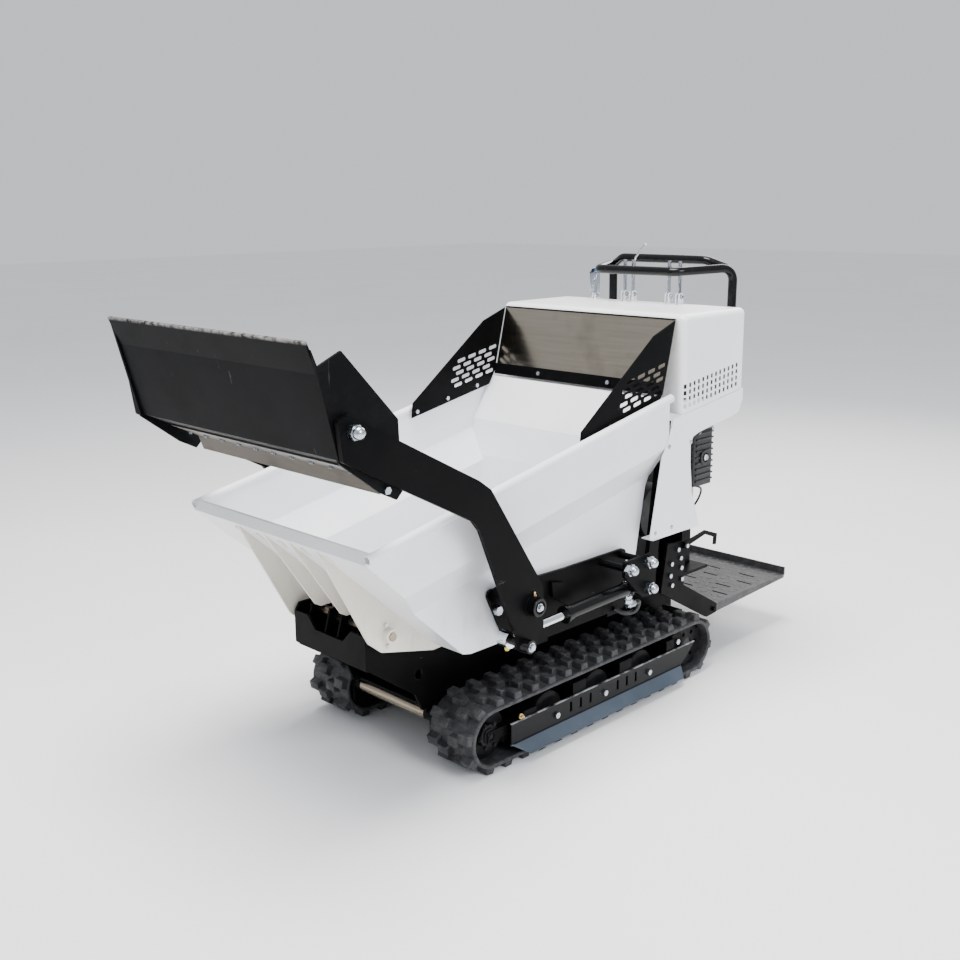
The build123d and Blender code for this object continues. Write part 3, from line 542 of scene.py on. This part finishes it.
def station(distance):
    """Where a point of the band is, with X along the band and Z outwards."""
    bend = pi * BAND_R
    distance %= 2 * (2 * RUN + bend)
    half, along = divmod(distance, 2 * RUN + bend)
    if along < 2 * RUN:
        inner = Matrix.Translation((along - RUN, 0, -BAND_R))
    else:
        turn = (along - 2 * RUN) / BAND_R
        inner = (Matrix.Translation((RUN, 0, 0)) @ Matrix.Rotation(-turn, 4, "Y")
                 @ Matrix.Translation((0, 0, -BAND_R)))
    flip = Matrix.Rotation(-pi * half, 4, "Y")
    outwards = Matrix.Rotation(pi, 4, "X")
    return Matrix.Translation((TRACK_X, 0, TRACK_R)) @ flip @ inner @ outwards


print("track pitch", round(PITCH, 4), "m over", LUGS, "lugs a row")


# %% Band
def add_band(bm, middle):
    """The band itself, with eased edges."""
    half = TRACK_WIDTH / 2
    ease = 3 * MM
    section = [(-half, ease), (-half + ease, 0), (half - ease, 0), (half, ease),
               (half, BAND - ease), (half - ease, BAND), (-half + ease, BAND), (-half, BAND - ease)]
    start = [bm.verts.new((TRACK_X - RUN, middle + y, LUG_HEIGHT + z)) for y, z in section]
    loop = [bm.edges.new(pair) for pair in zip(start, [*start[1:], start[0]])]
    for heading in (1, -1):
        pushed = bmesh.ops.extrude_edge_only(bm, edges=loop)["geom"]
        moved = [item for item in pushed if isinstance(item, bmesh.types.BMVert)]
        bmesh.ops.translate(bm, verts=moved, vec=(2 * RUN * heading, 0, 0))
        far = [item for item in pushed if isinstance(item, bmesh.types.BMEdge)
               and set(item.verts) <= set(moved)]
        spun = bmesh.ops.spin(bm, geom=moved + far, cent=(TRACK_X + RUN * heading, 0, TRACK_R),
                              axis=(0, -1, 0), angle=pi, steps=22)["geom_last"]
        loop = [item for item in spun if isinstance(item, bmesh.types.BMEdge)]


# %% Lug
def add_block(bm, at, middle, x, y, z, taper, rim):
    """A block of rubber on the band, narrower at its top, between pairs of values."""
    block = bmesh.new()
    corners = ((x[0], y[0]), (x[1], y[0]), (x[1], y[1]), (x[0], y[1]))
    low = [block.verts.new((a, b, z[0])) for a, b in corners]
    face = block.faces.new(low)
    top = bmesh.ops.extrude_face_region(block, geom=[face])["geom"]
    raised = [item for item in top if isinstance(item, bmesh.types.BMVert)]
    centre = Vector(((x[0] + x[1]) / 2, (y[0] + y[1]) / 2, 0))
    bmesh.ops.translate(block, verts=raised, vec=(0, 0, z[1] - z[0]))
    for vert in raised:
        vert.co.x = centre.x + (vert.co.x - centre.x) * taper
        vert.co.y = centre.y + (vert.co.y - centre.y) * (1 - (1 - taper) * 0.5)
    edges = list({edge for vert in raised for edge in vert.link_edges})
    bmesh.ops.bevel(block, geom=edges, offset=rim, segments=1, profile=0.5, affect="EDGES",
                    clamp_overlap=True, material=-1)
    bmesh.ops.transform(block, verts=block.verts, matrix=Matrix.Translation((0, middle, 0)) @ at)
    mesh = bpy.data.meshes.new("block")
    block.to_mesh(mesh)
    block.free()
    bm.from_mesh(mesh)
    bpy.data.meshes.remove(mesh)


def rubber_track(side, name):
    """One whole track: band, staggered lugs outside and guide horns inside."""
    bm = bmesh.new()
    middle = side * TRACK_Y
    add_band(bm, middle)
    for index in range(LUGS):
        for row in (-1, 1):
            at = station((index + 0.25 * row) * PITCH)
            inner, outer = (2 * MM, 47 * MM), (40 * MM, 85 * MM)
            for reach, shift in ((inner, -9 * MM), (outer, 8 * MM)):
                across = sorted((-row * reach[0], -row * reach[1]))
                add_block(bm, at, middle, (shift - 17 * MM, shift + 17 * MM), across,
                          (-3 * MM, LUG_HEIGHT), 0.8, 2.5 * MM)
        horn = station(index * PITCH + PITCH * 0.5)
        add_block(bm, horn @ Matrix.Rotation(pi, 4, "X"), middle, (-11 * MM, 11 * MM),
                  (-9 * MM, 9 * MM), (BAND - 2 * MM, BAND + 16 * MM), 0.62, 2 * MM)
    for vert in bm.verts:
        past = max(abs(vert.co.x - TRACK_X) - RUN, 0)
        reach = Vector((past, 0, vert.co.z - TRACK_R))
        if reach.length > TRACK_R:
            keep = TRACK_R / reach.length
            sign = 1 if vert.co.x > TRACK_X else -1
            if past:
                vert.co.x = TRACK_X + sign * (RUN + past * keep)
            vert.co.z = TRACK_R + (vert.co.z - TRACK_R) * keep
    return piece(name, bm, track_rubber, "machine", 40)


# %% Both tracks
for side, word in ((LEFT, "left"), (RIGHT, "right")):
    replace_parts(rubber_track(side, f"rubber_track_{word}"), f"track_belt_{word}")
print("track faces:", made_pieces["rubber_track_left"])

# %% [markdown]
# ## Hydraulic hoses and fittings
# Each lift barrel is fed at its rear from below. A hexagon union screws into the barrel,
# an elbow turns the flow rearwards, and the hose loops down and inwards below the barrel.

# %% Hoses of the lift cylinders
CYLINDER_Y = 0.400
BARREL_EYE = Vector((-0.1155, 0, 0.431))
PORT_X, ELBOW_Z, LOOP_Z = -0.072, 0.374, 0.336
hoses, unions = bmesh.new(), bmesh.new()
for side in (LEFT, RIGHT):
    y = side * CYLINDER_Y
    turned(unions, (PORT_X, y, 0.410), DOWN,
           [(0, 0), (0, 0.011), (0.012, 0.011), (0.012, 0.0085), (0.020, 0.0085), (0.020, 0)], 6)
    turned(unions, (PORT_X, y, 0.392), DOWN,
           [(0, 0), (0, 0.0125), (0.011, 0.0125), (0.013, 0.011), (0.013, 0)], 6)
    rod(unions, (PORT_X - 0.003, y, ELBOW_Z), (PORT_X - 0.030, y, ELBOW_Z), 0.0105, 6, 0.001)
    rod(unions, (PORT_X + 0.008, y, ELBOW_Z + 0.002), (PORT_X - 0.004, y, ELBOW_Z), 0.0095, 12, 0.002)
    pipe(hoses, [(PORT_X - 0.026, y, ELBOW_Z), (PORT_X - 0.052, y, ELBOW_Z - 0.003),
                 (PORT_X - 0.056, y - side * 0.018, LOOP_Z),
                 (PORT_X - 0.030, y - side * 0.040, LOOP_Z - 0.006),
                 (PORT_X - 0.010, y - side * 0.062, LOOP_Z + 0.008)], 0.0075, 12, 6)
piece("cylinder_hoses", hoses, hose_rubber, "lift_cylinder_barrels")
piece("hose_unions", unions, zinc, "lift_cylinder_barrels")
print("faces of the hoses and unions:", made_pieces["cylinder_hoses"], made_pieces["hose_unions"])

# %% Gland rings and rod caps
glands, caps = bmesh.new(), bmesh.new()
run = (ROD_PIN - BARREL_EYE).normalized()
for side in (LEFT, RIGHT):
    y = side * CYLINDER_Y
    start = BARREL_EYE + Vector((0, y, 0))
    for reach, outer in ((0.046, 0.0262), (0.338, 0.0268)):
        ring(glands, start + run * reach, run, 0.0238, outer, 0.008)
    turned(caps, (ROD_PIN.x, y, 0.392), DOWN,
           [(0, 0), (0, 0.0062), (0.006, 0.0068), (0.010, 0.0055), (0.012, 0)], 14)
piece("barrel_glands", glands, black_gloss, "lift_cylinder_barrels")
piece("rod_grease_caps", caps, cap_yellow, "lift_cylinder_rods")
print("gland faces:", made_pieces["barrel_glands"])

# %% [markdown]
# ## Arm pivots
# The pivot pin is held by a bright hexagon in a thick collar, and greased from above.

# %% Arm pivot collars
collars, centres, nipples = bmesh.new(), bmesh.new(), bmesh.new()
for side in (LEFT, RIGHT):
    at = Vector((ARM_PIVOT.x, side * 0.4862, ARM_PIVOT.z))
    out = Vector((0, side, 0))
    ring(collars, at, out, 0.0185, 0.0262, 0.0085, 32)
    bolt(centres, at + out * 0.0065, out, 0.015, 0.007)
    turned(nipples, (ARM_PIVOT.x - 0.004, side * 0.470, ARM_PIVOT.z + 0.027), UP,
           [(0, 0), (0, 0.0055), (0.004, 0.0055), (0.004, 0.003), (0.008, 0.003), (0.0095, 0.0042),
            (0.0125, 0.0026), (0.0125, 0)], 12)
piece("arm_pivot_collars", collars, black_gloss, "lift_arms")
piece("arm_pivot_bolts", centres, zinc, "lift_arms")
piece("arm_grease_nipples", nipples, brass, "lift_arms")
print("arm pivot pieces:", [name for name in made_pieces if name.startswith("arm_")])

# %% [markdown]
# ## Track wheels
# Rollers and idlers turn on sealed hubs. A pressed cap with a rolled edge closes each
# one, and the idler's tensioner is filled through a brass valve behind it.

# %% Hub caps
def hub(node, side, sink):
    """The middle of a wheel's outer face, sunk a little into it."""
    low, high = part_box(node)
    outer = max(abs(low[1]), abs(high[1]))
    return Vector(((low[0] + high[0]) / 2, side * (outer - sink), (low[2] + high[2]) / 2))


for side, word in ((LEFT, "left"), (RIGHT, "right")):
    out = Vector((0, side, 0))
    for number in (1, 2, 3):
        node = f"track_roller_{number}_{word}"
        at = hub(node, side, 0.0015)
        caps = bmesh.new()
        turned(caps, at, out, [(0, 0), (0, 0.021), (0.003, 0.021), (0.004, 0.019), (0.003, 0.017),
                               (0.005, 0.012), (0.0062, 0.004), (0.0062, 0)], 26)
        piece(f"roller_cap_{number}_{word}", caps, wheel_black, node)
    node = f"idler_wheel_{word}"
    at = hub(node, side, 0.001)
    caps = bmesh.new()
    turned(caps, at, out, [(0, 0), (0, 0.024), (0.004, 0.024), (0.006, 0.021), (0.006, 0.009),
                           (0.009, 0.007), (0.009, 0)], 28)
    for step in range(6):
        turn_by = step * pi / 3
        bolt(caps, at + Vector((0.037 * cos(turn_by), 0, 0.037 * sin(turn_by))), out, 0.010, 0.005)
    piece(f"idler_cap_{word}", caps, wheel_black, node)
fillers = bmesh.new()
for side in (LEFT, RIGHT):
    turned(fillers, (0.372, side * 0.360, 0.140), (0.25, side, 0.25),
           [(0, 0), (0, 0.008), (0.006, 0.008), (0.006, 0.005), (0.014, 0.005), (0.016, 0.0035),
            (0.018, 0.0045), (0.020, 0.003), (0.020, 0)], 12)
piece("tensioner_valves", fillers, brass, "machine")
print("hub caps:", sum("_cap_" in name for name in made_pieces))

# %% [markdown]
# ## Levers
# Each lever turns on a bolt through two ears, with a lock nut on the other side.

# %% Lever bolts and the brake plate
EAR_REACH = 7.4 * MM
HOOD_SKIN_Z = 1.2388
lever_bolts, brake_plate, brake_hook = bmesh.new(), bmesh.new(), bmesh.new()
for pin in LEVER_PINS:
    for side in (-1, 1):
        bolt(lever_bolts, (pin.x, pin.y + side * EAR_REACH, pin.z), (0, side, 0), 0.011, 0.005)
    for x in (-0.672, -0.631):
        bolt(lever_bolts, (x, pin.y, HOOD_SKIN_Z), UP, 0.010, 0.005)
for side in (-1, 1):
    bolt(lever_bolts, (BRAKE_PIN.x, BRAKE_PIN.y + side * EAR_REACH, BRAKE_PIN.z), (0, side, 0),
         0.011, 0.005)
    bolt(lever_bolts, (BRAKE_PIN.x + side * 0.022, BRAKE_PIN.y, HOOD_SKIN_Z), UP, 0.010, 0.005)
plate(brake_plate, [(-0.676, 1.264), (-0.622, 1.264), (-0.618, 1.340), (-0.632, 1.352),
                    (-0.664, 1.352), (-0.676, 1.338)], -0.2270, -0.2255, "Y", 0.0006)
for z in (1.284, 1.332):
    bolt(brake_plate, (-0.648, -0.2270, z), (0, -1, 0), 0.011, 0.005)
pipe(brake_hook, [(x, BRAKE_PIN.y, z) for x, z in
                  ((-0.652, 1.336), (-0.656, 1.352), (-0.668, 1.358), (-0.678, 1.350))], 0.0042, 12, 5)
piece("lever_bolts", lever_bolts, zinc, "machine")
piece("brake_lever_plate", brake_plate, zinc, "brake_lever")
piece("brake_lever_hook", brake_hook, hook_blue, "brake_lever")
print("lever bolt faces:", made_pieces["lever_bolts"])

# %% [markdown]
# ## Platform tread
# The platform's plate is pressed with small lozenges that point both ways in turn, and
# their tops are worn brighter than the plate between them.

# %% Tread lozenges
TREAD_STEP = 36 * MM
SLOT_START, SLOT_ROW, SLOT_COLUMN, SLOT_SHIFT = Vector((-0.7035, -0.225)), 0.080, 0.150, 0.040


def over_slot(x, y):
    """True where a lozenge would hang over one of the plate's drain slots."""
    return any(abs(x - SLOT_START.x + row * SLOT_ROW) < 0.016
               and abs(y - SLOT_START.y - column * SLOT_COLUMN - row % 2 * SLOT_SHIFT) < 0.044
               for row in range(5) for column in range(4))


tread = bmesh.new()
for row in range(13):
    for column in range(17):
        x, y = -1.112 + row * TREAD_STEP, -0.288 + column * TREAD_STEP
        if over_slot(x, y):
            continue
        lean = pi / 4 if (row + column) % 2 else -pi / 4
        ahead_by, aside = Vector((cos(lean), sin(lean), 0)), Vector((-sin(lean), cos(lean), 0))
        middle = Vector((x, y, 0.2035))
        rise = Vector((0, 0, 0.0022))
        foot = [tread.verts.new(middle + ahead_by * a + aside * b)
                for a, b in ((-0.013, 0), (-0.005, -0.0042), (0.005, -0.0042), (0.013, 0),
                             (0.005, 0.0042), (-0.005, 0.0042))]
        face = tread.faces.new(foot)
        raised = bmesh.ops.extrude_face_region(tread, geom=[face])["geom"]
        for vert in raised:
            if isinstance(vert, bmesh.types.BMVert):
                vert.co = middle + (vert.co - middle) * 0.7 + rise
piece("platform_tread", tread, tread_worn, "platform")
print("faces of the tread:", made_pieces["platform_tread"])

# %% [markdown]
# ## Engine dress
# Under the hood, on the side that shows, are a ribbed air filter with its clips, a small
# alloy carburettor, and thin rubber pipes, one of which rises to the fuel tank.

# %% Air filter, carburettor and pipes
ribs, clips, bowl, pipes = bmesh.new(), bmesh.new(), bmesh.new(), bmesh.new()
for step in range(9):
    z = 0.675 + step * 0.020
    slab(ribs, (-0.596, 0.3335, z), (-0.501, 0.3385, z + 0.006), 0.001)
    slab(ribs, (-0.4945, 0.243, z), (-0.4895, 0.327, z + 0.006), 0.001)
ring(ribs, (-0.548, 0.3345, 0.755), (0, 1, 0), 0.016, 0.026, 0.008, 28)
for x in (-0.585, -0.512):
    pipe(clips, [(x, 0.338, 0.838), (x, 0.343, 0.845), (x, 0.340, 0.856), (x, 0.330, 0.854)], 0.0016, 8, 4)
turned(clips, (-0.548, 0.3360, 0.755), (0, 1, 0),
       [(0, 0), (0, 0.012), (0.008, 0.012), (0.011, 0.009), (0.011, 0)], 6)
turned(bowl, (-0.514, 0.268, 0.600), DOWN,
       [(0, 0), (0, 0.026), (0.010, 0.026), (0.014, 0.022), (0.026, 0.022), (0.030, 0.012),
        (0.034, 0.006), (0.034, 0)], 24)
for x in (-0.533, -0.495):
    bolt(bowl, (x, 0.2985, 0.622), (0, 1, 0), 0.010, 0.005)
ring(bowl, (-0.514, 0.298, 0.636), (0, 1, 0), 0.012, 0.019, 0.010, 24)
pipe(bowl, [(-0.536, 0.303, 0.646), (-0.520, 0.309, 0.658), (-0.500, 0.306, 0.654)], 0.0022, 8, 4)
pipe(pipes, [(-0.500, 0.300, 0.606), (-0.470, 0.318, 0.590), (-0.440, 0.300, 0.640),
             (-0.430, 0.240, 0.730), (-0.432, 0.150, 0.815)], 0.0045, 10, 6)
pipe(pipes, [(-0.520, 0.285, 0.575), (-0.500, 0.305, 0.550), (-0.470, 0.290, 0.520),
             (-0.462, 0.220, 0.470)], 0.0050, 10, 6)
pipe(pipes, [(-0.548, 0.290, 0.652), (-0.590, 0.300, 0.630), (-0.600, 0.260, 0.560),
             (-0.560, 0.200, 0.520)], 0.0035, 10, 6)
piece("air_filter_ribs", ribs, black_plastic, "machine")
piece("air_filter_clips", clips, zinc, "machine")
piece("carburettor_bowl", bowl, cast_alloy, "machine")
piece("engine_pipes", pipes, hose_rubber, "machine")
print("pieces so far:", len(made_pieces))

# %% [markdown]
# ## Oil and control lines
# The valve under the hood is fed by hoses with pressed steel ends, which drop behind the
# engine to the oil tank. The tank has a yellow filler cap and hexagon plugs, the fuel
# tank's filler is a flat yellow disc, and four small bolts hold the handlebar's feet.

# %% Hoses of the valve
VALVE_FOOT_Z, TANK_TOP_Z, TANK_X = 1.162, 0.618, -0.598
CRIMPED_END = [(0, 0), (0, 0.0115), (0.014, 0.0115), (0.014, 0.0095), (0.042, 0.0095), (0.042, 0)]
lines, ends = bmesh.new(), bmesh.new()
for index, y in enumerate((-0.120, -0.078, -0.036, 0.010, 0.054, 0.098)):
    x, far = -0.605 + 0.012 * (index % 2), -0.190 + index * 0.070
    pipe(lines, [(x, y, 1.158), (x - 0.004, y, 1.080), (x - 0.012, (y + far) / 2, 0.900),
                 (TANK_X, far, 0.760), (TANK_X, far, 0.640)], 0.0078, 12, 6)
    turned(ends, (x, y, VALVE_FOOT_Z), DOWN, CRIMPED_END, 12)
    turned(ends, (TANK_X, far, TANK_TOP_Z), UP, CRIMPED_END, 12)
piece("valve_hoses", lines, hose_rubber, "machine")
piece("valve_hose_ends", ends, zinc, "machine")
print("valve hose faces:", made_pieces["valve_hoses"])

# %% Tank fittings
TANK_BACK_X = -0.6225
FOOT_BOLT = 0.010001
filler, plugs = bmesh.new(), bmesh.new()
turned(filler, (TANK_X, 0.222, 0.619), UP,
       [(0, 0), (0, 0.019), (0.006, 0.019), (0.006, 0.023), (0.022, 0.023), (0.026, 0.018),
        (0.026, 0)], 10)
turned(filler, (-0.474, 0.010, 0.929), UP, [(0, 0), (0, 0.026), (0.001, 0.026), (0.0014, 0)], 20)
for y, z in ((-0.180, 0.385), (0.180, 0.470), (0.180, 0.430)):
    bolt(plugs, (TANK_BACK_X, y, z), BACK, 0.020, 0.008)
for y in (-0.215, 0.228):
    for z in (0.375, 0.590):
        bolt(plugs, (TANK_BACK_X, y, z), BACK, 0.012, 0.006)
for y in (-0.257, 0.257):
    for side in (-1, 1):
        bolt(plugs, (-0.6835, y + side * 0.017, 1.095), BACK, FOOT_BOLT, 0.004, False)
piece("tank_cap", filler, cap_yellow, "machine")
piece("tank_plugs", plugs, zinc, "machine")
print("tank plug faces:", made_pieces["tank_plugs"])

# %% [markdown]
# ## Screens and folds
# A sheet of black foam behind the hood's perforations makes the holes look dark. It is painted
# shade, a dark sheet in place of the shade inside the hood, and the foam itself is a guess, as such hoods often
# have one. The guard's back panel ends in a narrow dark fold along its top, and closed sleeves give two cross
# tubes between the tracks bare steel, tinted brown as a painted reflection of the ground.

# %% Intake foam standing in for shade, the fold, and the rod pins' heads
foam, fold, heads = bmesh.new(), bmesh.new(), bmesh.new()
for side in (LEFT, RIGHT):
    low, high = sorted((side * 0.3775, side * 0.3835))
    # Black sheet behind the perforations: painted shade in place of the dark inside the hood.
    plate(foam, [(-0.664, 0.948), (-0.345, 0.978), (-0.345, 1.130), (-0.664, 1.085)], low, high, "Y", 0.001)
    bolt(heads, (ROD_PIN.x, side * 0.4925, ROD_PIN.z), (0, side, 0), 0.017, 0.006)
slab(fold, (-0.3352, -0.360, 1.2275), (-0.3200, 0.360, 1.2310), 0.001)
sleeve = bmesh.new()
# The sleeves' brown tint is a painted reflection of the ground.
for x in (0.5365, -0.3035):
    rod(sleeve, (x, -0.1445, 0.138), (x, 0.1445, 0.138), 0.0217, 32, 0.0006)
piece("cross_tube_sleeves", sleeve, shaft_steel_ground_reflection, "machine")
piece("intake_foam_and_shade", foam, black_plastic, "machine")
piece("guard_top_fold", fold, black_satin, "skip")
piece("rod_pin_heads", heads, zinc, "lift_arms")
print("pieces with the screens and folds:", len(made_pieces))

# %% [markdown]
# ## Panel screws and welds
# Thin panels are held by small dome-headed screws. A plain round weld holds each arm's
# boss, and short rippled beads join the skip's ribs.

# %% Panel screws
screws = bmesh.new()
for side in (LEFT, RIGHT):
    for x, z in ((-0.300, 0.575), (-0.215, 0.572), (-0.275, 0.840), (-0.390, 0.838)):
        turned(screws, (x, side * 0.3895, z), (0, side, 0),
               [(0, 0), (0, 0.0075), (0.0012, 0.0075), (0.0012, 0.0055), (0.0035, 0.0042), (0.0045, 0)], 16)
piece("panel_screws", screws, zinc, "machine")
print("panel screw faces:", made_pieces["panel_screws"])

# %% Welds on the arms and the skip
arm_welds, skip_welds = bmesh.new(), bmesh.new()
for side in (LEFT, RIGHT):
    ring(arm_welds, (ARM_PIVOT.x, side * 0.4655, ARM_PIVOT.z), (0, side, 0), 0.026, 0.0325, 0.005, 40)
for y in (-0.203, -0.101, 0.0, 0.101, 0.203):
    for side in (-1, 1):
        bead(skip_welds, (0.930, y + side * 0.004, 0.716), (0.900, y + side * 0.004, 0.690), 0.0025)
piece("arm_welds", arm_welds, black_satin, "lift_arms")
piece("skip_welds", skip_welds, rib_sunlit_white, "skip")
print("weld faces:", made_pieces["arm_welds"], made_pieces["skip_welds"])

# %% [markdown]
# ## Stage and camera
# A pale floor, a pale sky and three soft lamps: the object's own gloss does the rest.

# %% Camera
CAMERA_AT = Vector((2.6325, 2.479, 1.590))
YAW, PITCH_DOWN, ROLL = radians(225.408), radians(13.4595), radians(0.5559)
ahead = Vector((cos(PITCH_DOWN) * cos(YAW), cos(PITCH_DOWN) * sin(YAW), -sin(PITCH_DOWN)))
level = Vector((sin(YAW), -cos(YAW), 0))
down = ahead.cross(level)
image_right = cos(ROLL) * level + sin(ROLL) * down
image_down = -sin(ROLL) * level + cos(ROLL) * down
turn = Matrix((image_right, -image_down, -ahead)).transposed().to_4x4()
camera_data = bpy.data.cameras.new("camera")
camera_data.lens = 43.4
camera_data.sensor_width = 36
camera_data.shift_x = 0.0043
camera_data.shift_y = -0.0019
camera = bpy.data.objects.new("camera", camera_data)
camera.matrix_world = Matrix.Translation(CAMERA_AT) @ turn
bpy.context.scene.collection.objects.link(camera)
bpy.context.scene.camera = camera

# %% Floor
floor_bm = bmesh.new()
bmesh.ops.create_grid(floor_bm, x_segments=4, y_segments=4, size=30)
floor_mesh = bpy.data.meshes.new("floor")
floor_bm.to_mesh(floor_mesh)
floor_bm.free()
floor = bpy.data.objects.new("floor", floor_mesh)
bpy.context.scene.collection.objects.link(floor)
pale = Finish("floor_pale")
floor_mesh.materials.append(pale.coat(
    pale.colours(pale.noise(0.7, 2), (0.3, (0.90, 0.90, 0.90)), (0.7, (0.93, 0.93, 0.93))),
    pale.span(pale.noise(3, 2), 0.3, 0.7, 0.8, 0.9)))

# %% Sky and lamps
world = bpy.data.worlds.new("sky")
world.use_nodes = True
world.node_tree.nodes["Background"].inputs["Color"].default_value = (0.90, 0.94, 1.0, 1)
world.node_tree.nodes["Background"].inputs["Strength"].default_value = 0.85
bpy.context.scene.world = world
MIDDLE = Vector((0, 0, 0.6))


def lamp(name, at, size, watts, colour):
    """A soft rectangular lamp that looks at the machine's middle."""
    data = bpy.data.lights.new(name, "AREA")
    data.size = size
    data.energy = watts
    data.color = colour
    made = bpy.data.objects.new(name, data)
    made.location = at
    made.rotation_euler = (MIDDLE - Vector(at)).to_track_quat("-Z", "Y").to_euler()
    bpy.context.scene.collection.objects.link(made)


lamp("key", (1.0, 0.2, 4.9), 2.2, 470, (1.0, 0.98, 0.95))
lamp("fill", (0.6, 4.8, 3.4), 2.2, 200, (0.93, 0.96, 1.0))
lamp("back", (-4.0, -1.0, 3.4), 2.6, 130, (1.0, 0.97, 0.93))

# %% [markdown]
# ## Pieces made
# The last cell prints how many pieces were added and how many faces they have.

# %% Finish
print("pieces made:", len(made_pieces), "faces:", sum(made_pieces.values()))
